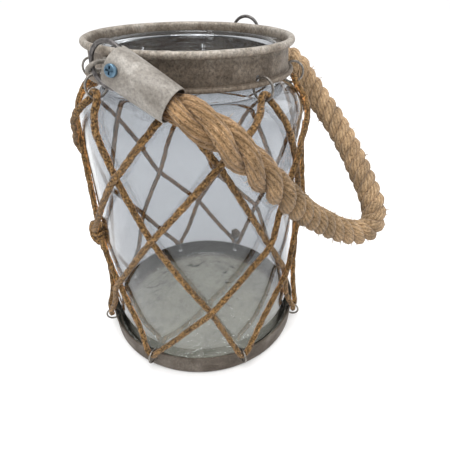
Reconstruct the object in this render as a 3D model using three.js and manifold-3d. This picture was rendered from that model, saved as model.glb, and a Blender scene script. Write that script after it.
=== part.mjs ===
// Hanging lantern: a glass jar in a galvanised collar and tray, wrapped in a jute net that
// is laced through sixteen wire rings, with a rope bail carried by two larger rings.
// Millimetres, +Z up, origin at the middle of the tray's underside. The two large rings
// swing in lugs on the collar about the level line through the lugs. The bail turns on the
// rings about the line through their centres, which is a little out of level as the far ring
// hangs lower.

import * as THREE from 'three';
import { mergeVertices } from 'three/addons/utils/BufferGeometryUtils.js';
import Module from 'manifold-3d';

const wasm = await Module();
wasm.setup();

// ---- driving dimensions ----
const gap = 0.3;                // clearance between pieces that touch
const roundSegments = 40;       // facets round the jar, the collar and the tray
const shoulderSteps = 5;

const jarRadius = 87.8;         // outside of the glass body
const jarWall = 3.2;
const jarBaseThickness = 6;
const jarCornerRadius = 9;
const jarShoulderHeight = 213.5;
const jarNeckRadius = 66;
const jarShoulderRise = 24.5;
const jarNeckLength = 26;       // from the top of the shoulder to the lip
const jarLipDepth = 3.4;
const jarLipOverhang = 5.6;     // of the lip over the neck
const jarLipClearance = 0.4;    // between the lip and the band where it is narrowest

const sheet = 1.0;              // thickness of the galvanised sheet
const collarRise = 6;           // from the jar's lip to the top of the rim
const rimRollRadius = 2.64;
const rimOverhang = 4.6;        // of the rolled rim over the top of the band
const bandFlare = 0.8;          // how much wider the band is at its foot
const beadOverhang = 3.8;       // of the bead over the foot of the band
const beadRollRadius = 1.7;
const beadRise = 9.2;           // from the top of the jar's shoulder to the bead
const seamWidth = 4;            // of the lapped seam in the rolled rim
const seamThickness = 0.4;
const seamAzimuth = 201.6;

const trayReach = 5.7;          // from the side of the jar to the outside of the tray
const trayHeight = 21.7;
const trayRollRadius = 0.9;
const trayCornerRadius = 4;
const trayTaper = 0.6;          // how much narrower the tray is at its foot

const netCount = 8;
const topRingAzimuth = 22.7;    // azimuth of the first ring on the collar
const ringWireRadius = 0.85;
const topRingRadius = 7.6;      // to the middle of the wire, of the rings on the collar
const footRingRadius = 6.2;     // of the rings on the tray
const ringHoleRadius = 2.0;
const topRingReach = 4.5;       // from the band's wall to the ring's centre
const topRingHoleRise = 3.3;    // from the bead's middle to the hole over it
const footRingReach = 2.9;      // from the tray's wall to the ring's centre
const footRingDrop = 3.7;       // from the tray's rim to the ring's centre
const topHookOut = 1.2;         // from a ring's centre out to the cord that is hooked in it
const footHookOut = 1.1;
// degrees that the rings near the ferrules are pushed aside, by their place on the collar
const foldedRings = { 4: 11, 5: 12, 7: -11 };

const cordRadius = 2.5;
const cordSides = 8;
const cordLift = 2 * cordRadius + 2 * gap;    // of a leg that crosses over another
const netTangentHeight = 46;    // below it the net leaves the glass for the tray's rings
const netTopSlope = 0.45;       // outward run of a cord for its drop below a collar ring
const netFootSlope = 0.1;       // outward run of a cord for its rise over a tray ring
const hookClearance = 0.9;      // between a cord and the ring that it hangs in
const knotRadius = 8;
const knotLength = 24;          // of the knot half-way up the side
const knotBaseLength = 13;      // of the knot over a ring on the tray
const knotBaseHeight = 34.5;

const bailWireRadius = 1.35;
const ringSegments = 28;
const bailRingRadius = 12.7;
const nearLugY = 7.8;           // the lugs lie behind the jar's middle
const farLugY = 12.2;
const lugDepth = 7.6;           // from the rim's top to the line that the rings swing about
const lugFootDepth = 12;        // from the rim's top to the middle of each lug's foot
const nearRingReach = 15.9;     // from the outside of the rim to the near ring
const farRingReach = 18.9;
const nearRingAngle = 7.5;      // degrees that the ring's centre lies above its lug
const farRingAngle = -9;

const ferruleLength = 40.4;
const ferruleRadius = 11.9;
const ferruleMouthRadius = 11.3;
const ferruleTaperLength = 26;
const ferruleWall = 0.9;
const ferruleSegments = 28;
const ferruleReach = 3.2;       // from the ring's centre to the ferrule's end
const nearLift = 2.1;           // of the ferrule's middle line over the ring's centre
const farLift = -5;
const nearPitch = 27.9;         // degrees that the near ferrule points below level
const nearYaw = 4.2;            // degrees that it leans in towards the jar
const farPitch = 14;
const farYaw = 10;

const screwRadius = 1.7;
const screwHeadRadius = 3.6;
const screwHeadHeight = 2.4;
const nearScrewReach = 5.8;     // from the ferrule's end to the screw, inside the ring
const farScrewReach = 4.4;
const screwRoll = 14;           // degrees that its head is turned up round the ferrule
const screwTipMargin = 1.3;     // from the screw's tip to the ferrule's far outside
const screwSlotDepth = 1.5;
const screwSlotWidth = 0.9;
const screwSlotLength = 4.2;

const ropeRadius = 10;
const ropeSides = 12;
const ropeSteps = 30;
const ropeTuck = 27;            // length of rope inside each ferrule

const lugWireRadius = 1.3;
const lugHalfWidth = 4.4;       // from the lug's middle to each of its legs
const lugOvershoot = 1.0;       // the bow's centre stops this far short of the ring
const lugDrop = 3.4;            // from each leg to its root on the foot
const swingRange = 60;          // degrees that the rings swing in the lugs
const lugFootHalfWidth = 13;
const lugFootHeight = 11;
const lugFootThickness = 1.2;
const rivetOffset = 9.6;        // from the lug's middle to each of its rivets
const rivetRadius = 1.5;
const rivetHeadRadius = 2.6;
const rivetHeadHeight = 1.1;

// ---- sizes that follow from them ----
const jarShoulderTop = jarShoulderHeight + jarShoulderRise;
const jarLipHeight = jarShoulderTop + jarNeckLength;
const jarLipRadius = jarNeckRadius + jarLipOverhang;
const collarTop = jarLipHeight + collarRise;
const bandTopRadius = jarLipRadius + jarLipClearance + sheet;    // outside, under the rim
const bandFootRadius = bandTopRadius + bandFlare;                // outside, above the bead
const rimRadius = bandTopRadius + rimOverhang;
const beadRadius = bandFootRadius + beadOverhang;
const beadHeight = jarShoulderTop + beadRise;
const trayRadius = jarRadius + trayReach;
const lugHeight = collarTop - lugDepth;
const lugFootMiddle = collarTop - lugFootDepth;
const nearReach = rimRadius + nearRingReach;
const farReach = rimRadius + farRingReach;

// ---- materials ----
const colours = {
  glass: { color: 0xd9e2df, roughness: 0.05, metalness: 0, transparent: true, opacity: 0.35 },
  zinc: { color: 0x9c968c, roughness: 0.6, metalness: 0.7 },
  ferrule: { color: 0xb4aca2, roughness: 0.55, metalness: 0.6 },
  wire: { color: 0xb5b0a6, roughness: 0.35, metalness: 0.9 },
  screw: { color: 0x9fb3c0, roughness: 0.3, metalness: 0.9 },
  jute: { color: 0x93703f, roughness: 0.95, metalness: 0 },
  rope: { color: 0xb4946a, roughness: 0.95, metalness: 0 },
};

const lantern = new THREE.Group();
lantern.name = 'hanging_lantern';

function addPiece(name, geometry, look) {
  const piece = new THREE.Mesh(geometry, new THREE.MeshStandardMaterial(colours[look]));
  piece.name = name;
  lantern.add(piece);
}

// ---- helpers ----
const radians = THREE.MathUtils.degToRad;

function closedSolid(geometry) {
  const bare = geometry.clone();
  for (const attribute of ['normal', 'uv']) {
    bare.deleteAttribute(attribute);
  }
  const merged = mergeVertices(bare, 1e-4);
  return new wasm.Manifold(new wasm.Mesh({
    numProp: 3,
    vertProperties: new Float32Array(merged.attributes.position.array),
    triVerts: new Uint32Array(merged.index.array),
  }));
}

function solidGeometry(solid) {
  const mesh = solid.getMesh();
  const geometry = new THREE.BufferGeometry();
  const stride = mesh.numProp;
  const count = mesh.vertProperties.length / stride;
  const positions = new Float32Array(count * 3);
  for (let i = 0; i < count; i += 1) {
    for (let j = 0; j < 3; j += 1) {
      positions[3 * i + j] = mesh.vertProperties[stride * i + j];
    }
  }
  geometry.setAttribute('position', new THREE.BufferAttribute(positions, 3));
  geometry.setIndex(new THREE.BufferAttribute(new Uint32Array(mesh.triVerts), 1));
  return geometry;
}

// A lathe turned about Z, from [radius, height] pairs.
function turned(profile, segments) {
  const points = profile.map(([radius, height]) => new THREE.Vector2(radius, height));
  const geometry = new THREE.LatheGeometry(points, segments);
  geometry.rotateX(Math.PI / 2);
  return geometry;
}

// Points of an arc in a turned profile; angles in degrees from the outward radius.
function arcPoints(centreRadius, centreHeight, radius, from, to, steps) {
  const points = [];
  for (let i = 0; i <= steps; i += 1) {
    const angle = radians(from + (to - from) * i / steps);
    points.push([
      centreRadius + radius * Math.cos(angle),
      centreHeight + radius * Math.sin(angle),
    ]);
  }
  return points;
}

function polar(radius, azimuth, height) {
  const angle = radians(azimuth);
  return new THREE.Vector3(radius * Math.cos(angle), radius * Math.sin(angle), height);
}

// A bar along a line, from one point to another.
function bar(from, to, radius, sides) {
  const along = to.clone().sub(from);
  const geometry = new THREE.CylinderGeometry(radius, radius, along.length(), sides);
  const turn = new THREE.Quaternion().setFromUnitVectors(
    new THREE.Vector3(0, 1, 0),
    along.clone().normalize(),
  );
  geometry.applyQuaternion(turn);
  const middle = from.clone().add(to).multiplyScalar(0.5);
  geometry.translate(middle.x, middle.y, middle.z);
  return geometry;
}

// A torus whose plane is upright and runs outward from the Z axis at azimuth 0.
function uprightRing(meanRadius, wireRadius, wireSides, segments) {
  const geometry = new THREE.TorusGeometry(meanRadius, wireRadius, wireSides, segments);
  geometry.rotateX(Math.PI / 2);
  return geometry;
}

// ---- jar ----
// Outside of the shoulder, a quarter ellipse from the body to the neck.
function shoulderPoint(angle, offset) {
  const width = jarRadius - jarNeckRadius;
  const normal = new THREE.Vector2(
    Math.cos(angle) / width,
    Math.sin(angle) / jarShoulderRise,
  ).normalize();
  return [
    jarNeckRadius + width * Math.cos(angle) + offset * normal.x,
    jarShoulderHeight + jarShoulderRise * Math.sin(angle) + offset * normal.y,
  ];
}

// Distance from the axis of a cord's middle, lying on the glass at a given height.
function cordRadiusAt(height, lift) {
  const offset = cordRadius + gap + lift;
  if (height <= jarShoulderHeight) {
    return jarRadius + offset;
  }
  let low = 0;
  let high = Math.PI / 2;
  for (let i = 0; i < 30; i += 1) {
    const middle = (low + high) / 2;
    if (shoulderPoint(middle, offset)[1] < height) {
      low = middle;
    } else {
      high = middle;
    }
  }
  return shoulderPoint(low, offset)[0];
}

const jarFoot = sheet + gap;

function jarGeometry() {
  const profile = [[0, jarFoot]];
  const corner = jarCornerRadius;
  profile.push(...arcPoints(jarRadius - corner, jarFoot + corner, corner, -90, 0, 3));
  for (let i = 0; i <= shoulderSteps; i += 1) {
    profile.push(shoulderPoint(Math.PI / 2 * i / shoulderSteps, 0));
  }
  const lipBottom = jarLipHeight - jarLipDepth;
  profile.push([jarNeckRadius, lipBottom - 4]);
  profile.push([jarLipRadius - 1, lipBottom - 0.6]);
  profile.push(...arcPoints(jarLipRadius - jarLipDepth / 2, jarLipHeight - jarLipDepth / 2,
    jarLipDepth / 2, -50, 90, 3));
  profile.push([jarNeckRadius - jarWall + 1.5, jarLipHeight]);
  profile.push([jarNeckRadius - jarWall, jarLipHeight - 1.5]);
  for (let i = shoulderSteps; i >= 0; i -= 1) {
    profile.push(shoulderPoint(Math.PI / 2 * i / shoulderSteps, -jarWall));
  }
  const inner = jarRadius - jarWall;
  const floor = jarFoot + jarBaseThickness;
  profile.push(...arcPoints(inner - corner, floor + corner, corner, 0, -90, 3));
  profile.push([0, floor]);
  return turned(profile, roundSegments);
}

// ---- collar ----
const rimRollCentre = [rimRadius - rimRollRadius, collarTop - rimRollRadius];
const beadRollCentre = beadRadius - beadRollRadius;
const bandFoot = beadHeight - beadRollRadius + 0.5;
const ringHoleHeight = beadHeight + topRingHoleRise;

function bandRadiusAt(height) {
  const top = rimRollCentre[1] - rimRollRadius;
  const share = (height - ringHoleHeight) / (top - ringHoleHeight);
  return bandFootRadius + (bandTopRadius - bandFootRadius) * share;
}

function topRingCentre() {
  const wall = bandFootRadius - sheet / 2;
  const rise = Math.sqrt(topRingRadius ** 2 - topRingReach ** 2);
  return {
    wall,
    ring: topRingRadius,
    radius: wall + topRingReach,
    height: ringHoleHeight - rise,
  };
}

function topRingSpin(index) {
  return foldedRings[index] ?? 0;
}

function collarGeometry() {
  const under = rimRollCentre[1] - rimRollRadius;
  const profile = [[bandFootRadius - sheet, bandFoot]];
  profile.push(...arcPoints(beadRollCentre, beadHeight, beadRollRadius, -135, 140, 5));
  profile.push([bandFootRadius, ringHoleHeight - ringHoleRadius + 0.3]);
  profile.push([bandRadiusAt(under), under]);
  profile.push(...arcPoints(rimRollCentre[0], rimRollCentre[1], rimRollRadius, -125, 180, 8));
  profile.push([bandTopRadius - sheet, under]);
  profile.push([bandFootRadius - sheet, ringHoleHeight - ringHoleRadius]);
  profile.push(profile[0]);
  let collar = closedSolid(turned(profile, roundSegments));
  // the lapped seam of the rolled rim
  const seam = new THREE.SphereGeometry(rimRollRadius + seamThickness, 10, 6);
  seam.scale(1, seamWidth / (2 * rimRollRadius), 1);
  seam.translate(rimRollCentre[0], 0, rimRollCentre[1]);
  seam.rotateZ(radians(seamAzimuth));
  collar = collar.add(closedSolid(seam));
  // a round hole over the bead for each wire ring
  for (let i = 0; i < netCount; i += 1) {
    const at = topRingAzimuth + 360 * i / netCount;
    const inner = polar(bandFootRadius - 3 * sheet, at, ringHoleHeight);
    const outer = polar(bandFootRadius + 0.8, at, ringHoleHeight);
    const wide = ringHoleRadius + (topRingSpin(i) === 0 ? 0 : 0.6);
    collar = collar.subtract(closedSolid(bar(inner, outer, wide, 8)));
  }
  for (const lug of lugs) {
    for (const hole of lug.rivetHoles(bandFootRadius - 6, bandFootRadius + 2)) {
      collar = collar.subtract(closedSolid(hole));
    }
  }
  return solidGeometry(collar);
}

// ---- tray ----
const trayWallRadius = trayRadius - 0.7 * trayRollRadius;   // outside of the wall at the rim

function footRingCentre() {
  const wall = trayWallRadius - sheet / 2;
  return {
    wall,
    ring: footRingRadius,
    radius: wall + footRingReach,
    height: trayHeight - footRingDrop,
  };
}

function footRingHoleHeight() {
  const centre = footRingCentre();
  return centre.height - Math.sqrt(footRingRadius ** 2 - footRingReach ** 2);
}

function trayGeometry() {
  const foot = trayWallRadius - trayTaper;
  const corner = trayCornerRadius;
  const rollHeight = trayHeight - trayRollRadius;
  const rollCentre = trayRadius - trayRollRadius;
  const profile = [[0, 0]];
  profile.push(...arcPoints(foot - corner, corner, corner, -90, 0, 3));
  profile.push([trayWallRadius, rollHeight - trayRollRadius]);
  profile.push(...arcPoints(rollCentre, rollHeight, trayRollRadius, -120, 150, 5));
  profile.push([trayWallRadius - sheet, rollHeight]);
  const inner = corner - sheet;
  profile.push(...arcPoints(foot - sheet - inner, corner, inner, 0, -90, 3));
  profile.push([0, sheet]);
  let tray = closedSolid(turned(profile, roundSegments));
  const holeHeight = footRingHoleHeight();
  netBottoms.forEach((azimuth) => {
    const inside = polar(trayWallRadius - 4 * sheet, azimuth, holeHeight);
    const outside = polar(trayWallRadius + 2 * sheet, azimuth, holeHeight);
    tray = tray.subtract(closedSolid(bar(inside, outside, ringHoleRadius + 0.5, 8)));
  });
  return solidGeometry(tray);
}

// ---- wire rings of the net ----
function netRing(centre, azimuth, spin) {
  const geometry = uprightRing(centre.ring, ringWireRadius, 6, 12);
  geometry.translate(centre.radius - centre.wall, 0, 0);
  geometry.rotateZ(radians(spin));
  geometry.translate(centre.wall, 0, centre.height);
  geometry.rotateZ(radians(azimuth));
  return geometry;
}

// ---- net ----
// Each row gives the azimuth and height where two legs of the cord cross, for the crossing
// that follows each collar ring: the first row by its drop below the collar's bead, and the
// others by their rise over the tray's rim. The last row gives the rings on the tray.
const firstCrossings = [
  [40.2, 51.2], [85.2, 51.2], [130.2, 51.2], [174.6, 59.2],
  [220.9, 43.2], [265.2, 51.2], [310.2, 51.2], [355.2, 51.2],
].map(([azimuth, drop]) => [azimuth, beadHeight - drop]);
const secondCrossings = [
  [60, 102.3], [105.3, 114.3], [138.9, 96.3], [188.7, 121.3],
  [246.9, 108.3], [285.3, 114.3], [330.3, 114.3], [19.1, 92.3],
].map(([azimuth, rise]) => [azimuth, trayHeight + rise]);
const thirdCrossings = [
  [77.5, 60.3], [122.5, 60.3], [159.6, 58.3], [214.4, 54.3],
  [263.5, 67.3], [302.5, 60.3], [347.5, 60.3], [33.3, 57.3],
].map(([azimuth, rise]) => [azimuth, trayHeight + rise]);
const netBottoms = [94.9, 136.6, 181.4, 231.4, 280.1, 319.9, 4.9, 49.9];

// Distance from the axis of a leg of the net, at a height.
function legRadius(height) {
  const top = topRingCentre();
  const foot = footRingCentre();
  const onGlass = cordRadiusAt(Math.min(height, jarShoulderTop), 0);
  if (height > jarShoulderHeight + 0.7 * jarShoulderRise) {
    const apex = top.height - topRingRadius + hookReach;
    return Math.max(onGlass, top.radius + topHookOut + netTopSlope * (apex - height));
  }
  if (height < netTangentHeight) {
    const low = foot.height + footRingRadius - hookReach;
    const share = (netTangentHeight - height) / (netTangentHeight - low);
    return onGlass + share * (foot.radius + footHookOut - onGlass);
  }
  return onGlass;
}

const hookReach = cordRadius + ringWireRadius + hookClearance;

// The turn of a cord through a ring: round the ring's lowest or highest wire.
function bight(centre, azimuth, spin, side) {
  const wireHeight = centre.height - side * centre.ring;
  const reach = centre.radius - centre.wall;
  const offset = reach * Math.sin(radians(spin));
  const hookOut = side > 0 ? topHookOut : footHookOut;
  const slope = side > 0 ? netTopSlope : netFootSlope;
  const radius = centre.wall + reach * Math.cos(radians(spin)) + hookOut;
  return (angle) => {
    const across = offset + hookReach * Math.sin(radians(angle));
    const height = wireHeight + side * hookReach * Math.cos(radians(angle));
    const out = radius + slope * hookReach * (1 - Math.cos(radians(angle)));
    const point = new THREE.Vector3(out, across, height);
    return point.applyAxisAngle(new THREE.Vector3(0, 0, 1), radians(azimuth));
  };
}

// Straight runs on the wrapped glass between two crossings, with more steps on the shoulder.
function legPoints(from, to, over) {
  const steps = Math.max(from[1], to[1]) > jarShoulderHeight ? 5 : 3;
  const turn = ((to[0] - from[0] + 540) % 360) - 180;
  const points = [];
  for (let i = 1; i < steps; i += 1) {
    const share = i / steps;
    const height = from[1] + (to[1] - from[1]) * share;
    points.push(polar(legRadius(height), from[0] + turn * share, height));
  }
  const lift = over ? cordLift : 0;
  points.push(polar(legRadius(to[1]) + lift, to[0], to[1]));
  return points;
}

function hangingBight(index) {
  const azimuth = topRingAzimuth + 360 * index / netCount;
  return bight(topRingCentre(), azimuth, topRingSpin(index), 1);
}

function footBight(index) {
  return bight(footRingCentre(), netBottoms[index], 0, -1);
}

function azimuthHeight(point) {
  return [THREE.MathUtils.radToDeg(Math.atan2(point.y, point.x)), point.z];
}

// A leg down from a collar ring to a tray ring, which it reaches from its low-azimuth side.
function downLeg(index) {
  const wrap = (i) => (i + netCount) % netCount;
  const top = hangingBight(index);
  const low = footBight(wrap(index));
  const stops = [firstCrossings[index], secondCrossings[index], thirdCrossings[index]];
  const points = [top(45), top(90)];
  let from = azimuthHeight(top(90));
  for (const stop of stops) {
    points.push(...legPoints(from, stop, false));
    from = stop;
  }
  const end = low(-90);
  const last = legPoints(from, azimuthHeight(end), false);
  last.pop();
  points.push(...last, end, low(-45));
  return points;
}

// A leg up from a tray ring to the collar ring half-way round, over the legs that it meets.
function upLeg(index) {
  const wrap = (i) => (i + netCount) % netCount;
  const low = footBight(index);
  const top = hangingBight(wrap(index + 4));
  const stops = [
    thirdCrossings[wrap(index + 1)],
    secondCrossings[wrap(index + 2)],
    firstCrossings[wrap(index + 3)],
  ];
  const points = [low(45), low(90)];
  let from = azimuthHeight(low(90));
  for (const stop of stops) {
    points.push(...legPoints(from, stop, true));
    from = stop;
  }
  const end = top(-90);
  const last = legPoints(from, azimuthHeight(end), true);
  last.pop();
  points.push(...last, end, top(-45));
  return points;
}

// One cord makes four legs: down, up, down and up again to where it began.
function cordRoute(index) {
  const half = (index + 4) % netCount;
  return [
    footBight(half)(8),
    ...upLeg(half),
    hangingBight(index)(0),
    ...downLeg(index),
    footBight(index)(0),
    ...upLeg(index),
    hangingBight(half)(0),
    ...downLeg(half),
    footBight(half)(-8),
  ];
}

// A curve that is sampled at its own points, so that tight turns keep their steps.
class PointedCurve extends THREE.CatmullRomCurve3 {
  getPointAt(share, target) {
    return this.getPoint(share, target);
  }

  getTangentAt(share, target) {
    return this.getTangent(share, target);
  }
}

function roundSection(radius, sides) {
  const points = [];
  for (let i = 0; i < sides; i += 1) {
    const angle = 2 * Math.PI * i / sides;
    points.push(new THREE.Vector2(radius * Math.cos(angle), radius * Math.sin(angle)));
  }
  return new THREE.Shape(points);
}

function tubeAlong(points, radius, sides, steps) {
  const curve = new PointedCurve(points, false, 'centripetal');
  return new THREE.ExtrudeGeometry(roundSection(radius, sides), {
    steps,
    bevelEnabled: false,
    extrudePath: curve,
  });
}

function cordGeometry(index) {
  const points = cordRoute(index);
  return tubeAlong(points, cordRadius, cordSides, points.length - 1);
}

// ---- lugs, with a wire bow that holds the ring and a foot riveted to the band ----
function ringCentre(x, lugY, angle) {
  return new THREE.Vector3(
    x,
    lugY - bailRingRadius * Math.cos(radians(angle)),
    lugHeight + bailRingRadius * Math.sin(radians(angle)),
  );
}

function makeLug(side, reach, lugY, ringAngle) {
  // the bow stands square to the ring's wire at the middle of its swing
  const lean = radians(ringAngle + swingRange / 2);
  const across = new THREE.Vector3(0, -Math.cos(lean), Math.sin(lean));
  const middle = new THREE.Vector3(side * reach, lugY, lugHeight);
  const azimuth = THREE.MathUtils.radToDeg(Math.atan2(lugY, side * bandFootRadius));
  const rivetHoles = (from, to) => [-1, 1].map((end) => {
    const spread = THREE.MathUtils.radToDeg(rivetOffset / bandFootRadius);
    const at = azimuth + end * spread;
    const inner = polar(from, at, lugFootMiddle);
    return bar(inner, polar(to, at, lugFootMiddle), rivetRadius + gap, 10);
  });
  return { side, reach, across, middle, azimuth, rivetHoles };
}

const lugs = [
  makeLug(-1, nearReach, nearLugY, nearRingAngle),
  makeLug(1, farReach, farLugY, farRingAngle),
];

function lugFoot(lug) {
  const low = lugFootMiddle - lugFootHeight / 2;
  const high = lugFootMiddle + lugFootHeight / 2;
  const profile = [
    [bandRadiusAt(low) + gap, low],
    [bandRadiusAt(low) + gap + lugFootThickness, low],
    [bandRadiusAt(high) + gap + lugFootThickness, high],
    [bandRadiusAt(high) + gap, high],
    [bandRadiusAt(low) + gap, low],
  ];
  const block = new THREE.BoxGeometry(30, 2 * lugFootHalfWidth, 4 * lugFootHeight);
  block.translate(bandFootRadius, 0, lugFootMiddle);
  block.rotateZ(radians(lug.azimuth));
  return closedSolid(turned(profile, roundSegments)).intersect(closedSolid(block));
}

function lugGeometry(lug) {
  const bowCentre = lug.middle.clone();
  bowCentre.x -= lug.side * lugOvershoot;
  const points = [];
  const leg = (end) => {
    const point = bowCentre.clone().addScaledVector(lug.across, end * lugHalfWidth);
    const wall = Math.sqrt((bandTopRadius + gap + 1.0) ** 2 - point.y ** 2);
    return [new THREE.Vector3(lug.side * wall, point.y, point.z - lugDrop), point];
  };
  points.push(...leg(-1));
  for (let i = 1; i < 6; i += 1) {
    const angle = radians(-90 + 30 * i);
    const point = bowCentre.clone();
    point.addScaledVector(lug.across, lugHalfWidth * Math.sin(angle));
    point.x += lug.side * lugHalfWidth * Math.cos(angle);
    points.push(point);
  }
  points.push(...leg(1).reverse());
  const bow = tubeAlong(points, lugWireRadius, 8, points.length - 1);
  let solid = lugFoot(lug).add(closedSolid(bow));
  for (const hole of lug.rivetHoles(bandFootRadius - 2, bandFootRadius + 6)) {
    solid = solid.subtract(closedSolid(hole));
  }
  return solidGeometry(solid);
}

// ---- rivets of the lugs ----
function rivetGeometry(lug, end) {
  const out = bandRadiusAt(lugFootMiddle) + 2 * gap + lugFootThickness;
  const inside = bandRadiusAt(lugFootMiddle + rivetHeadRadius) - sheet - gap;
  const dome = (radius, height, base, away) => arcPoints(0, 0, 1, 0, 75, 2).map(
    ([along, up]) => [radius * along, base + away * height * up],
  );
  const profile = [
    [0, inside - rivetHeadHeight],
    ...dome(rivetHeadRadius, rivetHeadHeight, inside, -1).reverse(),
    [rivetRadius, inside],
    [rivetRadius, out],
    ...dome(rivetHeadRadius, rivetHeadHeight, out, 1),
    [0, out + rivetHeadHeight],
  ];
  const geometry = turned(profile, 10);
  geometry.rotateY(Math.PI / 2);
  geometry.translate(0, 0, lugFootMiddle);
  const spread = THREE.MathUtils.radToDeg(rivetOffset / bandFootRadius);
  geometry.rotateZ(radians(lug.azimuth + end * spread));
  return geometry;
}

// ---- bail rings, ferrules and screws ----
const nearRing = ringCentre(-nearReach, nearLugY, nearRingAngle);
const farRing = ringCentre(farReach, farLugY, farRingAngle);
const bailAxis = farRing.clone().sub(nearRing).normalize();

function turnFrom(from, to) {
  return new THREE.Quaternion().setFromUnitVectors(from, to);
}

function bailRing(centre, wireRadius) {
  const geometry = new THREE.TorusGeometry(bailRingRadius, wireRadius, 8, ringSegments);
  geometry.applyQuaternion(turnFrom(new THREE.Vector3(0, 0, 1), bailAxis));
  geometry.translate(centre.x, centre.y, centre.z);
  return geometry;
}

// Directions of a ferrule: along it to its mouth, up across it, and outward through its screw.
function makeFerrule(side, centre, pitch, yaw, lift, screwReach) {
  const along = new THREE.Vector3(
    -side * Math.sin(radians(yaw)) * Math.cos(radians(pitch)),
    -Math.cos(radians(yaw)) * Math.cos(radians(pitch)),
    -Math.sin(radians(pitch)),
  );
  const up = new THREE.Vector3(0, 0, 1);
  up.addScaledVector(along, -up.dot(along)).normalize();
  const outward = new THREE.Vector3().crossVectors(along, up).multiplyScalar(-side);
  const end = centre.clone();
  end.addScaledVector(along, ferruleReach).addScaledVector(up, lift);
  const mouth = end.clone().addScaledVector(along, ferruleLength);
  const screw = end.clone().addScaledVector(along, screwReach);
  const screwAxis = outward.clone().multiplyScalar(Math.cos(radians(screwRoll)));
  screwAxis.addScaledVector(up, Math.sin(radians(screwRoll)));
  return { centre, along, end, mouth, screw, screwAxis };
}

const nearFerrule = makeFerrule(
  -1, nearRing, nearPitch, nearYaw, nearLift, nearScrewReach,
);
const farFerrule = makeFerrule(1, farRing, farPitch, farYaw, farLift, farScrewReach);

// Turns a lathe about Z so that its Z axis runs along a direction from a point.
function place(geometry, origin, direction) {
  geometry.applyQuaternion(turnFrom(new THREE.Vector3(0, 0, 1), direction));
  geometry.translate(origin.x, origin.y, origin.z);
  return geometry;
}

function ferruleGeometry(ferrule) {
  const wall = ferruleWall;
  const taper = ferruleLength - ferruleTaperLength;
  const profile = [
    [ferruleRadius - wall, 0.2],
    [ferruleRadius - wall + 0.2, 0],
    [ferruleRadius - 0.2, 0],
    [ferruleRadius, 0.2],
    [ferruleRadius, taper],
    [ferruleMouthRadius, ferruleLength - 0.2],
    [ferruleMouthRadius - 0.2, ferruleLength],
    [ferruleMouthRadius - wall + 0.2, ferruleLength],
    [ferruleMouthRadius - wall, ferruleLength - 0.2],
    [ferruleRadius - wall, taper],
    [ferruleRadius - wall, 0.2],
  ];
  let solid = closedSolid(place(turned(profile, ferruleSegments), ferrule.end, ferrule.along));
  const groove = bailRing(ferrule.centre, bailWireRadius + 2 * gap);
  solid = solid.subtract(closedSolid(groove));
  const reach = ferruleRadius + 3;
  const inside = ferrule.screw.clone().addScaledVector(ferrule.screwAxis, -reach);
  const outside = ferrule.screw.clone().addScaledVector(ferrule.screwAxis, reach);
  solid = solid.subtract(closedSolid(bar(inside, outside, screwRadius + gap, 10)));
  return solidGeometry(solid);
}

// A pan-head screw across the ferrule, with a crossed slot.
function screwGeometry(ferrule) {
  const seat = ferruleRadius + gap;
  const tip = screwTipMargin - ferruleRadius;
  const head = arcPoints(screwHeadRadius - 1.2, seat + screwHeadHeight - 1.2, 1.2, 0, 70, 2);
  const profile = [
    [0, tip],
    [screwRadius - 0.4, tip],
    [screwRadius, tip + 0.6],
    [screwRadius, seat],
    [screwHeadRadius, seat],
    ...head,
    [0, seat + screwHeadHeight],
  ];
  let solid = closedSolid(turned(profile, 16));
  for (const quarter of [0, 90]) {
    const slot = new THREE.BoxGeometry(screwSlotLength, screwSlotWidth, 2 * screwSlotDepth);
    slot.rotateZ(radians(quarter));
    slot.translate(0, 0, seat + screwHeadHeight);
    solid = solid.subtract(closedSolid(slot));
  }
  return place(solidGeometry(solid), ferrule.screw, ferrule.screwAxis);
}

// ---- rope ----
// The rope's loop, from near the near ferrule's mouth round to the far one's, by place and
// by depth below the line that the rings swing about.
const ropeLoop = [
  [-89.5, -56.5, 21.9], [-86.5, -67, 27.9], [-82, -74, 35.4], [-75, -80, 44.9],
  [-66, -85.5, 56.4], [-55.5, -91, 68.9], [-44, -97, 81.9], [-32.5, -103.5, 94.9],
  [-22, -110, 106.4], [-12.5, -116.5, 115.4], [-3, -124.5, 124.4], [6, -133, 130.9],
  [15, -141.5, 134.9], [24, -148.5, 135.9], [33, -152, 132.9], [40.5, -150.5, 126.4],
  [47, -146, 119.4], [53, -139.5, 112.4], [60, -131, 103.4], [66, -124, 95.9],
  [71.5, -116.5, 87.4], [76.5, -107.5, 77.9], [80, -98, 68.4], [83, -88, 59.4], [85, -79, 50.9],
  [86.5, -70.5, 41.9], [87.2, -63.5, 33.9], [87.7, -57.5, 26.9], [88, -52, 22.4],
].map(([x, y, depth]) => new THREE.Vector3(x, y, lugHeight - depth));

function ropePoints() {
  const inFerrule = (ferrule, depth) => ferrule.mouth.clone().addScaledVector(
    ferrule.along, -depth,
  );
  return [
    inFerrule(nearFerrule, ropeTuck),
    inFerrule(nearFerrule, ropeTuck / 2),
    inFerrule(nearFerrule, 0),
    ...ropeLoop,
    inFerrule(farFerrule, 0),
    inFerrule(farFerrule, ropeTuck / 2),
    inFerrule(farFerrule, ropeTuck),
  ];
}

function ropeGeometry() {
  const curve = new THREE.CatmullRomCurve3(ropePoints(), false, 'centripetal');
  return new THREE.ExtrudeGeometry(roundSection(ropeRadius, ropeSides), {
    steps: ropeSteps,
    bevelEnabled: false,
    extrudePath: curve,
  });
}

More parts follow.
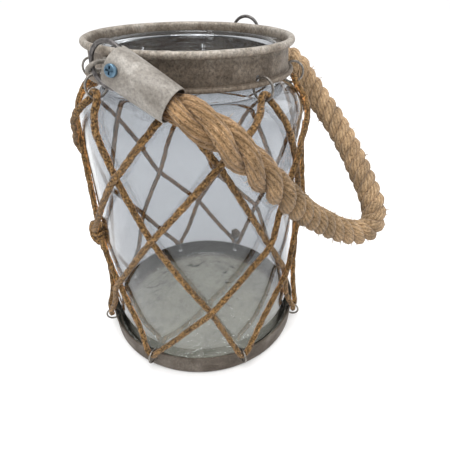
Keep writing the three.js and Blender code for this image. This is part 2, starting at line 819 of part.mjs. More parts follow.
// ---- knots ----
// A wrapped knot, barrel shaped, open where the cords run through it.
function knotGeometry(azimuth, height, length, cords) {
  const half = length / 2;
  const profile = [[0, -half]];
  profile.push(...[-0.9, -0.55, 0, 0.55, 0.9].map((share) => [
    knotRadius * Math.sqrt(1 - 0.5 * share ** 2),
    half * share,
  ]));
  profile.push([0, half]);
  const barrel = turned(profile, 14);
  const centre = polar(legRadius(height) + cordLift / 2, azimuth, height);
  barrel.translate(centre.x, centre.y, centre.z);
  let solid = closedSolid(barrel);
  const glass = new THREE.CylinderGeometry(jarRadius + gap, jarRadius + gap, 4 * half, roundSegments);
  glass.rotateX(Math.PI / 2);
  glass.translate(0, 0, height);
  solid = solid.subtract(closedSolid(glass));
  for (const cord of cords) {
    const points = cordRoute(cord);
    const channel = tubeAlong(points, cordRadius + gap + 0.1, cordSides, points.length - 1);
    solid = solid.subtract(closedSolid(channel));
  }
  return solidGeometry(solid);
}

// ---- assembly ----
addPiece('glass_jar', jarGeometry(), 'glass');
addPiece('neck_collar', collarGeometry(), 'zinc');
addPiece('base_tray', trayGeometry(), 'zinc');

for (let i = 0; i < netCount; i += 1) {
  const azimuth = topRingAzimuth + 360 * i / netCount;
  const top = netRing(topRingCentre(), azimuth, topRingSpin(i));
  addPiece(`net_ring_top_${i + 1}`, top, 'wire');
  const low = netRing(footRingCentre(), netBottoms[i], 0);
  addPiece(`net_ring_base_${i + 1}`, low, 'wire');
}
for (let i = 0; i < netCount / 2; i += 1) {
  addPiece(`net_cord_${i + 1}`, cordGeometry(i), 'jute');
}

lugs.forEach((lug) => {
  const name = lug.side < 0 ? 'near' : 'far';
  addPiece(`lug_${name}`, lugGeometry(lug), 'zinc');
  addPiece(`lug_rivet_${name}_1`, rivetGeometry(lug, -1), 'zinc');
  addPiece(`lug_rivet_${name}_2`, rivetGeometry(lug, 1), 'zinc');
});

addPiece('bail_ring_near', bailRing(nearRing, bailWireRadius), 'wire');
addPiece('bail_ring_far', bailRing(farRing, bailWireRadius), 'wire');
addPiece('ferrule_near', ferruleGeometry(nearFerrule), 'ferrule');
addPiece('ferrule_far', ferruleGeometry(farFerrule), 'ferrule');
addPiece('ferrule_screw_near', screwGeometry(nearFerrule), 'screw');
addPiece('ferrule_screw_far', screwGeometry(farFerrule), 'screw');
addPiece('knot_side', knotGeometry(...secondCrossings[2], knotLength, [0, 2]), 'jute');
addPiece(
  'knot_base', knotGeometry(netBottoms[6], knotBaseHeight, knotBaseLength, [2]), 'jute',
);
addPiece('handle_rope', ropeGeometry(), 'rope');

export default lantern;
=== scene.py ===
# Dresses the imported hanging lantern, in the frame of the CAD model: +Z up, near ferrule at -X.
# Lengths here are in millimetres and angles in degrees, and meshes are made in metres.
import random
from math import atan2, cos, degrees, exp, hypot, pi, radians as rad, sin, sqrt

import bmesh  # noqa: E402
import bpy  # noqa: E402
from mathutils import Matrix, Vector  # noqa: E402


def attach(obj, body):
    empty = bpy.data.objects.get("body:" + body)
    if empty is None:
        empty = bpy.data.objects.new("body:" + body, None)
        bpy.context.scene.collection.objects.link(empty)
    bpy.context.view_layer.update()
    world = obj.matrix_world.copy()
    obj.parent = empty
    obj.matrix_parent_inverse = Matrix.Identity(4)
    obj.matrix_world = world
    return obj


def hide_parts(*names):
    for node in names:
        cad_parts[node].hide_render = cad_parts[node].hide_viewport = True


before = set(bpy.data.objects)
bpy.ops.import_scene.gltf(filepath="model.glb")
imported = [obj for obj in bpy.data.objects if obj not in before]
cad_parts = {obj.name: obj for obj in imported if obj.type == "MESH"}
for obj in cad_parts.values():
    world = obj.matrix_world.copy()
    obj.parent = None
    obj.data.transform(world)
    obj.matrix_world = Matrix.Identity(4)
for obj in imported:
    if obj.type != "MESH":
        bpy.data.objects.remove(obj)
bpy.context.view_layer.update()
random.seed(11)
MM = 0.001

# ---- dimensions, in millimetres, as in the CAD model ----
GAP = 0.3
JAR_R, JAR_WALL, JAR_BASE, JAR_CORNER = 87.8, 3.2, 6.0, 9.0
SHOULDER_Z, SHOULDER_RISE, NECK_R = 213.5, 24.5, 66.0
LIP_Z, LIP_DEPTH, LIP_GAP = 264.0, 3.4, 0.4
PUNT, PUNT_EDGE, FOOT_EDGE = 1.2, 22, 15    # the rise under the jar, inside its foot
JAR_WALL_STEPS, NECK_RIDGES = (60, 110, 160), (249, 252, 255)
SHEET = 1.0
COLLAR_TOP, RIM_R, RIM_ROLL = 270.0, 77.6, 2.64
BAND_TOP_R, BAND_FOOT_R = 73.0, 73.8
BEAD_R, BEAD_ROLL, BEAD_Z = 77.6, 1.7, 247.2
SEAM_AZIMUTH = 201.6
TRAY_R, TRAY_H, TRAY_ROLL, TRAY_CORNER, TRAY_TAPER = 93.5, 21.7, 0.9, 4.0, 0.6
TRAY_PAINTED_LIGHT_R = 85     # of the floor under the jar, which is painted lighter
JAR_FOOT = SHEET + GAP
JAR_FLOOR = JAR_FOOT + JAR_BASE
NET_COUNT = 8
TOP_AZIMUTH = 22.7
RING_WIRE, TOP_RING_R, FOOT_RING_R, RING_HOLE = 0.85, 7.6, 6.2, 2.0
TOP_REACH, TOP_HOLE_RISE, TOP_HOOK_OUT = 4.5, 3.3, 1.2
FOOT_REACH, FOOT_DROP, FOOT_HOOK_OUT = 2.9, 3.7, 1.1
FOLDED = {4: 11, 5: 12, 7: -11}     # how far these top rings are turned to a side
CORD_R, CORD_PLIES, CORD_TWIST = 2.5, 3, 0.26
CORD_LIFT = 3.9     # of a leg that crosses over another; the cords press into each other
CORD_ENDS = 8       # angle of a cord's two ends in their bight
LEAVE_SHOULDER, LEAVE_WALL = 0.7, 46    # where legs leave the glass: share of it, and height
TOP_LEAN, FOOT_LEAN = 0.45, 0.1
HOOK_CLEARANCE = 0.9
KNOT_SINK, KNOT_SQUEEZE = 0.6, 0.8
BAIL_WIRE, BAIL_R = 1.35, 12.7
NEAR_LUG_Y, FAR_LUG_Y, LUG_Z, NEAR_REACH, FAR_REACH = 7.8, 12.2, 262.4, 93.5, 96.5
FOOT_Z = 258.0
NEAR_ANGLE, FAR_ANGLE = 7.5, -9
SWING = 60
FERRULE_L, FERRULE_R, FERRULE_MOUTH, FERRULE_TAPER, FERRULE_WALL = 40.4, 11.9, 11.3, 26.0, 0.9
FERRULE_REACH = 3.2
NEAR_SCREW, FAR_SCREW, SCREW_ROLL = 5.8, 4.4, 14
SCREW_R, SCREW_TIP, SCREW_HOLE = 1.7, 1.3, 2.0
SCREW_HEAD_R, SCREW_HEAD_H, SCREW_EDGE = 3.6, 2.45, 1.2
RECESS = (4.4, 1.05, 3.0)
LUG_WIRE, LUG_HALF, LUG_SHORT, LUG_DROP, LUG_STAND = 1.3, 4.4, 1.0, 3.4, 1.0
LUG_FOOT_W, LUG_FOOT_H, LUG_FOOT_T, LUG_FOOT_ROUND = 13.0, 11.0, 1.2, 0.72
RIVET_OFFSET, RIVET_R, RIVET_HEAD_R, RIVET_HEAD_H = 9.6, 1.5, 2.6, 1.1
ROPE_R, ROPE_TUCK = 10.0, 27.0
SLACK_END, TIGHT_START = 75, 165    # along the rope, from the near end
LAY_SLACK, LAY_TIGHT = 82, 32       # length of one turn of the strands
STRAND_REACH, STRAND_R = 4.3, 4.6   # in the ferrules; they swell outside
YARNS, YARN_SLACK, YARN_TIGHT = 9, 0.20, 0.72   # and the turn of the yarns for each mm
FUZZ_COUNT, FUZZ_REACH, FUZZ_LIMIT = 560, 5.6, 14.4


# ---- camera ----
CAMERA_AT = Vector((-278.0, -176.4, 311.3))
CAMERA_LOOK = Vector((0.7526, 0.3616, -0.5503)).normalized()
CAMERA_RIGHT = Vector((0.4365, -0.8997, 0.0058))
SENSOR, LENS = 36.0, 32.1624
LENS_SHIFT = (-0.034622, 0.0134)


def make_camera():
    right = (CAMERA_RIGHT - CAMERA_LOOK * CAMERA_RIGHT.dot(CAMERA_LOOK)).normalized()
    up = right.cross(CAMERA_LOOK)
    data = bpy.data.cameras.new("camera")
    data.sensor_width = SENSOR
    data.lens = LENS
    data.shift_x, data.shift_y = LENS_SHIFT
    data.clip_start = 0.01
    data.clip_end = 20
    camera = bpy.data.objects.new("camera", data)
    turn = Matrix((right, up, -CAMERA_LOOK)).transposed().to_4x4()
    camera.matrix_world = Matrix.Translation(CAMERA_AT * MM) @ turn
    bpy.context.scene.collection.objects.link(camera)
    bpy.context.scene.camera = camera


make_camera()


# ---- mesh helpers ----
UV_PER_MM = 0.01        # of a skin's U, along its path


def link(name, mesh, material):
    piece = bpy.data.objects.new(name, mesh)
    bpy.context.scene.collection.objects.link(piece)
    mesh.materials.append(material)
    mesh.shade_smooth()
    return piece


def mesh_from(name, verts, faces, uvs=None):
    mesh = bpy.data.meshes.new(name)
    mesh.from_pydata([(x * MM, y * MM, z * MM) for x, y, z in verts], [], faces)
    if uvs is not None:
        layer = mesh.uv_layers.new(name="UVMap")
        for loop in mesh.loops:
            layer.data[loop.index].uv = uvs[loop.vertex_index]
    mesh.validate()
    mesh.update()
    return mesh


def lathe(name, profile, segments):
    """A turned solid. Its profile starts and ends on the axis, or closes on itself."""
    verts, faces, rings = [], [], []
    for radius, height in profile:
        if radius < 1e-6:
            rings.append([len(verts)] * segments)
            verts.append((0, 0, height))
            continue
        start = len(verts)
        for i in range(segments):
            angle = 2 * pi * i / segments
            verts.append((radius * cos(angle), radius * sin(angle), height))
        rings.append(list(range(start, start + segments)))
    closed = profile[0][0] > 1e-6
    count = len(rings) if closed else len(rings) - 1
    for j in range(count):
        a, b = rings[j], rings[(j + 1) % len(rings)]
        for i in range(segments):
            k = (i + 1) % segments
            face = list(dict.fromkeys((a[i], a[k], b[k], b[i])))
            if len(face) > 2:
                faces.append(face)
    return mesh_from(name, verts, faces)


def arc(centre_r, centre_z, radius, start, end, steps):
    angles = [rad(start + (end - start) * i / steps) for i in range(steps + 1)]
    return [(centre_r + radius * cos(a), centre_z + radius * sin(a)) for a in angles]


def polar(radius, azimuth, height):
    return Vector((radius * cos(rad(azimuth)), radius * sin(rad(azimuth)), height))


def place(mesh, origin, direction):
    turn = Vector((0, 0, 1)).rotation_difference(direction).to_matrix().to_4x4()
    mesh.transform(Matrix.Translation(origin * MM) @ turn)
    return mesh


def rotate(mesh, angle, axis):
    mesh.transform(Matrix.Rotation(rad(angle), 4, axis))


def shift(mesh, x, z):
    mesh.transform(Matrix.Translation(Vector((x, 0, z)) * MM))


def torus(name, mean, wire, segments, sides):
    return lathe(name, arc(mean, 0, wire, 0, 360, sides)[:-1], segments)


def blend(a, b, ta, tb, t):
    return (tb - t) / (tb - ta) * a + (t - ta) / (tb - ta) * b


def catmull(points, spacing, steps=20):
    """Points every spacing mm along a centripetal Catmull-Rom curve, and its length."""
    path = []
    ends = [2 * points[0] - points[1]] + list(points) + [2 * points[-1] - points[-2]]
    for i in range(1, len(ends) - 2):
        p0, p1, p2, p3 = ends[i - 1:i + 3]
        t1 = sqrt(max((p1 - p0).length, 1e-4))
        t2 = t1 + sqrt(max((p2 - p1).length, 1e-4))
        t3 = t2 + sqrt(max((p3 - p2).length, 1e-4))
        for k in range(steps):
            t = t1 + (t2 - t1) * k / steps
            a1 = blend(p0, p1, 0, t1, t)
            a2 = blend(p1, p2, t1, t2, t)
            a3 = blend(p2, p3, t2, t3, t)
            b1, b2 = blend(a1, a2, 0, t2, t), blend(a2, a3, t1, t3, t)
            path.append(blend(b1, b2, t1, t2, t))
    path.append(points[-1].copy())
    total = sum((b - a).length for a, b in zip(path, path[1:]))
    count = max(2, round(total / spacing))
    even, walked, target, j = [path[0]], 0.0, total / count, 1
    for i in range(len(path) - 1):
        a, b = path[i], path[i + 1]
        step = (b - a).length
        while walked + step >= target * j - 1e-9 and j < count:
            even.append(a.lerp(b, (target * j - walked) / step))
            j += 1
        walked += step
    even.append(path[-1])
    return even, total


def frames_along(path):
    """Tangent, and a normal carried along without twist, at each point."""
    tangents = []
    for i in range(len(path)):
        a, b = path[max(i - 1, 0)], path[min(i + 1, len(path) - 1)]
        tangents.append((b - a).normalized())
    normal = tangents[0].orthogonal().normalized()
    normals = [normal]
    for a, b in zip(tangents, tangents[1:]):
        normal = a.rotation_difference(b) @ normal
        normal = (normal - b * normal.dot(b)).normalized()
        normals.append(normal)
    return tangents, normals


def sweep(name, path, radius_at, sides, turn_at=None):
    """A closed skin round a path, radius_at(s, angle) mm away, with UVs of length and turn."""
    tangents, normals = frames_along(path)
    verts, faces, uvs = [], [], []
    walked = 0.0
    for i, (p, t, n) in enumerate(zip(path, tangents, normals)):
        if i:
            walked += (p - path[i - 1]).length
        side = t.cross(n)
        turned = turn_at(walked) if turn_at else 0.0
        for j in range(sides):
            angle = 2 * pi * j / sides
            radius = radius_at(walked, angle)
            verts.append(p + (n * cos(angle) + side * sin(angle)) * radius)
            uvs.append((walked * UV_PER_MM, j / sides + turned))
    for i in range(len(path) - 1):
        a, b = i * sides, (i + 1) * sides
        for j in range(sides):
            k = (j + 1) % sides
            faces.append((a + j, a + k, b + k, b + j))
    faces.append(tuple(reversed(range(sides))))
    faces.append(tuple(range(len(verts) - sides, len(verts))))
    return mesh_from(name, verts, faces, uvs)


def join_meshes(name, meshes):
    whole = bmesh.new()
    for mesh in meshes:
        whole.from_mesh(mesh)
        bpy.data.meshes.remove(mesh)
    mesh = bpy.data.meshes.new(name)
    whole.to_mesh(mesh)
    whole.free()
    return mesh


def cut(piece, cutters):
    """Cuts the joined cutters out of the piece's mesh."""
    tool = bpy.data.objects.new("cutter", join_meshes("cutter", cutters))
    bpy.context.scene.collection.objects.link(tool)
    change = piece.modifiers.new("cut", "BOOLEAN")
    change.operation = "DIFFERENCE"
    change.solver = "EXACT"
    change.object = tool
    evaluated = piece.evaluated_get(bpy.context.evaluated_depsgraph_get())
    mesh = bpy.data.meshes.new_from_object(evaluated)
    old = piece.data
    piece.modifiers.clear()
    piece.data = mesh
    bpy.data.meshes.remove(old)
    bpy.data.objects.remove(tool, do_unlink=True)
    shade(piece, 35)


def shade(piece, angle, turn_out=False):
    """Smooth shading, sharp where faces meet at more than angle; turn_out fixes normals first."""
    piece.data.shade_smooth()
    work = bmesh.new()
    work.from_mesh(piece.data)
    if turn_out:
        bmesh.ops.recalc_face_normals(work, faces=work.faces)
    for edge in work.edges:
        edge.smooth = not (edge.is_manifold and edge.calc_face_angle(0) > rad(angle))
    work.to_mesh(piece.data)
    work.free()


def cylinder(a, b, radius, sides):
    length = (b - a).length
    mesh = lathe("bar", [(0, 0), (radius, 0), (radius, length), (0, length)], sides)
    return place(mesh, a, (b - a).normalized())


# ---- materials ----
class Nodes:
    """Builds a procedural material with short calls."""

    def __init__(self, name):
        self.material = bpy.data.materials.new(name)
        self.material.use_nodes = True
        self.tree = self.material.node_tree
        self.shader = self.tree.nodes["Principled BSDF"]
        self.output = self.tree.nodes["Material Output"]

    def add(self, kind, inputs=None, **settings):
        node = self.tree.nodes.new(kind)
        for key, value in settings.items():
            setattr(node, key, value)
        for key, value in (inputs or {}).items():
            self.put(node.inputs[key], value)
        return node

    def put(self, socket, value):
        if isinstance(value, bpy.types.NodeSocket):
            self.tree.links.new(value, socket)
        else:
            socket.default_value = value

    def scaled(self, vector, scale):
        return self.add("ShaderNodeMapping", {"Vector": vector, "Scale": scale}).outputs[0]

    def coords(self, kind="Object", scale=(1, 1, 1)):
        return self.scaled(self.add("ShaderNodeTexCoord").outputs[kind], scale)

    def by_height(self, stops):
        """A ramp whose stops are heights on the object, in mm."""
        height = self.add("ShaderNodeSeparateXYZ", {0: self.coords()}).outputs[2]
        return self.ramp(height, [(z * MM, colour) for z, colour in stops])

    def vector(self, operation, *inputs):
        return self.add("ShaderNodeVectorMath", dict(enumerate(inputs)), operation=operation)

    def facing_in(self, outward):
        """How squarely the surface faces against the outward vector."""
        normal = self.add("ShaderNodeTexCoord").outputs["Normal"]
        facing = self.vector("DOT_PRODUCT", normal, outward)
        return self.math("MULTIPLY", facing.outputs["Value"], -1)

    def noise(self, vector, scale, detail, rough, distortion=0.0):
        inputs = {"Vector": vector, "Scale": scale, "Detail": detail, "Roughness": rough,
                  "Distortion": distortion}
        return self.add("ShaderNodeTexNoise", inputs).outputs[0]

    def ramp(self, value, stops):
        node = self.add("ShaderNodeValToRGB", {"Fac": value})
        elements = node.color_ramp.elements
        while len(elements) < len(stops):
            elements.new(0.5)
        for element, (position, colour) in zip(elements, stops):
            element.position = position
            if not hasattr(colour, "__len__"):
                colour = (colour, colour, colour)
            element.color = (*colour, 1)
        return node.outputs[0]

    def multiply(self, a, b, factor=1.0):
        return self.mix(factor, a, b, "MULTIPLY")

    def mix(self, factor, a, b, blend="MIX"):
        node = self.add("ShaderNodeMix", data_type="RGBA", blend_type=blend)
        self.put(node.inputs[0], factor)
        for socket, value in ((node.inputs[6], a), (node.inputs[7], b)):
            if isinstance(value, tuple) and len(value) == 3:
                value = (*value, 1)
            self.put(socket, value)
        return node.outputs[2]

    def weighted(self, *parts):
        """The sum of some values, each given with its weight."""
        total, *rest = [self.math("MULTIPLY", value, weight) for value, weight in parts]
        for term in rest:
            total = self.math("ADD", total, term)
        return total

    def math(self, operation, *inputs):
        node = self.add("ShaderNodeMath", dict(enumerate(inputs)), operation=operation)
        return node.outputs[0]

    def bump(self, height, strength, distance, **normal):
        inputs = {"Height": height, "Strength": strength, "Distance": distance, **normal}
        return self.add("ShaderNodeBump", inputs).outputs[0]

    def set(self, **inputs):
        """Sets the shader's inputs, by their names with _ for a space."""
        for key, value in inputs.items():
            if isinstance(value, tuple):
                value = (*value, 1)
            self.put(self.shader.inputs[key.replace("_", " ")], value)
        return self.material


RUST_TINT = (0.75, 0.58, 0.42)
TONE_SPAN = 500     # of a skin's length, in mm, that its tones cover


def tray_inside(n, colour, at, grains, low, high):
    """Swirled floor under the jar, paler, with painted light; greenish painted shade on the inner
    wall.
    """
    across = n.vector("LENGTH", n.coords(scale=(1, 1, 0))).outputs["Value"]
    # the floor under the jar: paler metal, brightened further with painted light
    in_painted_light = n.ramp(across, [((TRAY_PAINTED_LIGHT_R - 4) * MM, 1.0), (TRAY_PAINTED_LIGHT_R * MM, 0.0)])
    above = n.by_height([(0.4 * SHEET, 0.0), (0.8 * SHEET, 1.0)])
    swirl = n.noise(at, 26, 6, 0.66, 3.2)
    shades = n.multiply(n.ramp(swirl, [(0.34, low), (0.47, high)]), grains, 0.5)
    colour = n.mix(n.math("MULTIPLY", in_painted_light, above), colour, shades)
    # painted shade, dark and greenish, on the tray wall's inner side
    wall = n.ramp(n.facing_in(n.coords()), [(0.02, 0.0), (0.05, 1.0)])
    return n.mix(wall, colour, n.multiply(colour, (0.3, 0.36, 0.33)))


def zinc_material(name, dark, middle, light, seed, rough=(0.5, 0.72), metal=0.4, rust=0.5,
                  grain=(0.45, 1.35), painted_light_by_height=None, floor=None):
    """Weathered galvanised sheet: soft patches, fine speckle and spots of rust.

    The tones by height are painted highlight on the rolled rim and bead, and painted shade under
    the rim; floor gives the two colours of a tray's floor, paler with painted light under the jar.
    """
    n = Nodes(name)
    at = n.vector("ADD", n.coords(), (seed, seed * 0.7, 0)).outputs[0]
    patches = n.noise(at, 46, 6, 0.66, 0.5)
    speckle = n.noise(at, 600, 3, 0.75)
    spots = n.noise(at, 330, 3, 0.6)
    base = n.ramp(patches, [(0.3, dark), (0.5, middle), (0.72, light)])
    grains = n.ramp(speckle, [(0.3, grain[0]), (0.52, 1.0), (0.74, grain[1])])
    colour = n.multiply(base, grains, 0.75)
    stain = n.ramp(spots, [(0.58, 0.0), (0.72, rust)])
    colour = n.mix(stain, colour, tuple(c * f for c, f in zip(dark, RUST_TINT)))
    if painted_light_by_height:
        # painted highlight and painted shade, by height
        colour = n.multiply(colour, n.by_height(painted_light_by_height))
    if floor:
        colour = tray_inside(n, colour, at, grains, *floor)
    roughness = n.ramp(patches, [(0.3, rough[1]), (0.7, rough[0])])
    normal = n.bump(n.weighted((speckle, 0.35), (patches, 0.65)), 0.4, 0.0006)
    return n.set(Base_Color=colour, Roughness=roughness, Metallic=metal, Normal=normal)


def glass_material():
    """Clear glass with a grey cast, wavy in the wall and rippled in the thick floor."""
    n = Nodes("clear_glass")
    wave = n.noise(n.coords(scale=(1, 1, 0.35)), 14, 2, 0.4, 0.8)
    ripple = n.noise(n.coords(), 42, 3, 0.5, 1.6)
    in_floor = n.by_height([(JAR_FLOOR + 1.7, 1.0), (JAR_FLOOR + 5.2, 0.0)])
    normal = n.bump(wave, 0.06, 0.004)
    normal = n.bump(n.math("MULTIPLY", ripple, in_floor), 0.55, 0.0035, Normal=normal)
    tint = n.by_height([(JAR_FLOOR + 2.7, (0.96, 0.97, 0.94)),
                        (JAR_FLOOR + 10.7, (0.53, 0.545, 0.565))])
    n.set(Base_Color=tint, Roughness=0.0, IOR=1.46, Transmission_Weight=1.0, Normal=normal,
          Specular_IOR_Level=0.5)
    # lamps shine through it, so the tray's floor isn't in the dark
    shadow = n.add("ShaderNodeLightPath").outputs["Is Shadow Ray"]
    clear = n.add("ShaderNodeBsdfTransparent", {0: (0.98, 0.985, 0.985, 1)})
    mixed = n.add("ShaderNodeMixShader",
                  {0: shadow, 1: n.shader.outputs[0], 2: clear.outputs[0]})
    n.put(n.output.inputs[0], mixed.outputs[0])
    return n.material


def jute_material(name, dark, middle, light, speck, yarns, groove_shade, fleck_scale,
                  patch=(0.74, 1.18), tones=None, inner=None):
    """Jute: yarns round the strand, fibres along them and dark flecks, in the skin's UV.

    tones gives colours by length; inner brightens the side that faces the glass with painted light.
    """
    n = Nodes(name)
    uv = n.coords("UV")
    along, around = n.add("ShaderNodeSeparateXYZ", {0: uv}).outputs[:2]
    wave = n.math("ABSOLUTE", n.math("SINE", n.math("MULTIPLY", around, pi * yarns)))
    fibres = n.noise(n.scaled(uv, (14, 34, 1)), 2.4, 5, 0.7, 0.4)
    flecks = n.noise(n.coords(), fleck_scale, 3, 0.75)
    patches = n.noise(n.coords(), 60, 3, 0.6)
    colour = n.ramp(fibres, [(0.28, dark), (0.5, middle), (0.7, light)])
    colour = n.multiply(colour, n.ramp(patches, [(0.3, patch[0]), (0.7, patch[1])]))
    # painted shade in the grooves between the yarns, and a slight painted highlight on their crowns
    colour = n.multiply(colour, n.ramp(wave, [(0.0, groove_shade), (0.45, 0.9), (1.0, 1.08)]))
    spots = n.ramp(flecks, [(speck, 0.9), (speck + 0.1, 0.0)])
    colour = n.mix(spots, colour, tuple(c * 0.4 for c in dark))
    if tones:
        stops = [(length / TONE_SPAN, tone) for length, tone in tones]
        whole = n.math("MULTIPLY", along, 1 / (TONE_SPAN * UV_PER_MM))
        colour = n.multiply(colour, n.ramp(whole, stops))
    if inner:
        outward = n.vector("NORMALIZE", n.coords(scale=(1, 1, 0))).outputs[0]
        # painted light on the side that faces the glass
        painted_light_on_glass_side = n.ramp(n.facing_in(outward), [(0.3, 0.0), (0.6, 1.0)])
        colour = n.mix(painted_light_on_glass_side, colour, n.multiply(colour, inner))
    normal = n.bump(n.weighted((fibres, 0.5), (flecks, 0.25), (wave, 0.25)), 0.85, 0.0012)
    return n.set(Base_Color=colour, Roughness=0.92, Normal=normal, Sheen_Weight=0.15,
                 Sheen_Roughness=0.5, Specular_IOR_Level=0.15)


def wire_material(name, colour, dark):
    """Zinc-plated wire, dulled in spots."""
    n = Nodes(name)
    wear = n.noise(n.coords(), 420, 3, 0.6)
    patches = n.noise(n.coords(), 90, 2, 0.5)
    base = n.mix(n.ramp(wear, [(0.35, 0.0), (0.65, 1.0)]), dark, colour)
    rough = n.ramp(patches, [(0.3, 0.5), (0.7, 0.3)])
    return n.set(Base_Color=base, Roughness=rough, Metallic=0.75,
                 Normal=n.bump(wear, 0.3, 0.0003))


ZINC = zinc_material(
    "collar_zinc", (0.075, 0.055, 0.038), (0.125, 0.098, 0.073), (0.20, 0.165, 0.13), seed=0,
    grain=(0.22, 1.7),
    # painted highlight on the bead and the rolled rim, bluish at its top; painted shade under the
    # rim
    painted_light_by_height=[(BEAD_Z + 0.6, 1.4), (BEAD_Z + 2.3, 0.9), (COLLAR_TOP - 9, 1.0),
          (COLLAR_TOP - 6.6, 0.55), (COLLAR_TOP - 5.2, 1.2),
          (COLLAR_TOP - 3.2, (1.9, 2.1, 2.3)), (COLLAR_TOP - 0.6, (2.25, 2.55, 2.9))])
TRAY_ZINC = zinc_material(
    "tray_zinc", (0.052, 0.039, 0.028), (0.092, 0.073, 0.056), (0.155, 0.13, 0.105), seed=4,
    # the floor under the jar: paler metal, brightened further with painted light
    floor=((0.50, 0.52, 0.43), (1.0, 0.98, 0.85)))
FERRULE_ZINC = zinc_material(
    "ferrule_zinc", (0.125, 0.108, 0.088), (0.195, 0.176, 0.153), (0.34, 0.318, 0.287), seed=9,
    metal=0.15, rough=(0.46, 0.66), rust=0.15, grain=(0.5, 1.36))
WIRE = wire_material("ring_wire", (0.30, 0.28, 0.255), (0.11, 0.095, 0.08))
BAIL_WIRE_LOOK = wire_material("bail_ring_wire", (0.15, 0.14, 0.135), (0.05, 0.045, 0.045))
SCREW = wire_material("screw_zinc", (0.12, 0.20, 0.27), (0.04, 0.08, 0.12))
GLASS = glass_material()
NET_JUTE = dict(dark=(0.052, 0.026, 0.008), middle=(0.26, 0.14, 0.048), light=(0.64, 0.405, 0.18),
                speck=0.455, yarns=3, groove_shade=0.66, fleck_scale=700)
# inner: painted light, brighter and warmer, on the side of the cords that faces the glass
CORD = jute_material("net_jute", **NET_JUTE, inner=(3.3, 2.7, 2.2))
KNOT_CORD = jute_material("knot_jute", **NET_JUTE)
ROPE = jute_material(
    "rope_jute", (0.11, 0.06, 0.024), (0.29, 0.188, 0.10), (0.54, 0.40, 0.26), speck=0.37,
    yarns=9, groove_shade=0.55, fleck_scale=1000, patch=(0.62, 1.3),
    # tones by length: painted shade where the rope goes into the near ferrule, then lighter towards
    # the far end
    tones=[(26, (0.3, 0.22, 0.16)), (33, (0.92, 0.84, 0.74)), (170, (0.84, 0.84, 0.82)),
           (360, (1.3, 1.32, 1.34))])


# ---- jar ----
def shoulder_point(angle, offset):
    """Radius and height on the elliptic shoulder, offset along its normal."""
    width = JAR_R - NECK_R
    normal = Vector((cos(angle) / width, sin(angle) / SHOULDER_RISE)).normalized()
    return (NECK_R + width * cos(angle) + offset * normal.x,
            SHOULDER_Z + SHOULDER_RISE * sin(angle) + offset * normal.y)


def shoulder_profile(offset, steps=14):
    return [shoulder_point(pi / 2 * i / steps, offset) for i in range(steps + 1)]


LIP_R = BAND_TOP_R - SHEET - LIP_GAP


def jar_outside():
    profile = [(0, JAR_FOOT + PUNT), (JAR_R - PUNT_EDGE, JAR_FOOT + PUNT - 0.2),
               (JAR_R - FOOT_EDGE, JAR_FOOT)]
    profile += arc(JAR_R - JAR_CORNER, JAR_FOOT + JAR_CORNER, JAR_CORNER, -90, 0, 10)
    profile += [(JAR_R, height) for height in JAR_WALL_STEPS]
    profile += shoulder_profile(0)
    for ridge in NECK_RIDGES:
        profile += [(NECK_R, ridge - 0.8), (NECK_R + 0.5, ridge), (NECK_R, ridge + 0.8)]
    lip = LIP_Z - LIP_DEPTH
    profile += [(NECK_R, lip - 1.6), (LIP_R - 1, lip - 0.6)]
    return profile + arc(LIP_R - LIP_DEPTH / 2, LIP_Z - LIP_DEPTH / 2, LIP_DEPTH / 2, -50, 90, 8)


def jar_inside():
    neck, wall = NECK_R - JAR_WALL, JAR_R - JAR_WALL
    profile = [(neck + 1.5, LIP_Z), (neck + 0.4, LIP_Z - 0.4), (neck, LIP_Z - 1.5)]
    profile += shoulder_profile(-JAR_WALL)[::-1]
    profile += [(wall, height) for height in reversed(JAR_WALL_STEPS)]
    profile += arc(wall - JAR_CORNER, JAR_FLOOR + JAR_CORNER, JAR_CORNER, 0, -90, 10)
    # the moulded floor isn't quite flat
    return profile + [(50, JAR_FLOOR - 0.15), (25, JAR_FLOOR + 0.1), (0, JAR_FLOOR)]


def make_jar():
    jar = link("jar", lathe("jar", jar_outside() + jar_inside(), 144), GLASS)
    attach(jar, "lantern")
    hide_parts("glass_jar")


make_jar()


# ---- collar ----
RIM_C = (RIM_R - RIM_ROLL, COLLAR_TOP - RIM_ROLL)
UNDER_RIM = RIM_C[1] - RIM_ROLL
BEAD_C = BEAD_R - BEAD_ROLL
BAND_FOOT = BEAD_Z - BEAD_ROLL + 0.5
RING_HOLE_Z = BEAD_Z + TOP_HOLE_RISE
NET_TOPS = [TOP_AZIMUTH + 360 * i / NET_COUNT for i in range(NET_COUNT)]


def band_radius_at(height):
    share = (height - RING_HOLE_Z) / (UNDER_RIM - RING_HOLE_Z)
    return BAND_FOOT_R + (BAND_TOP_R - BAND_FOOT_R) * share


def band_points(shares, inset):
    heights = [RING_HOLE_Z + (UNDER_RIM - RING_HOLE_Z) * share for share in shares]
    return [(band_radius_at(height) - inset, height) for height in heights]


def rim_stands_out(azimuth):
    """The rolled rim's unevenness in mm: a lapped seam at the front, and slow waves."""
    away = (azimuth - SEAM_AZIMUTH + 180) % 360 - 180
    seam = 0.38 * exp(-(away / 1.3) ** 2) - 0.12 * exp(-((away - 3.2) / 1.2) ** 2)
    wave = 0.06 * sin(rad(azimuth) * 5) + 0.04 * sin(rad(azimuth) * 11 + 1)
    return seam + wave - 0.06


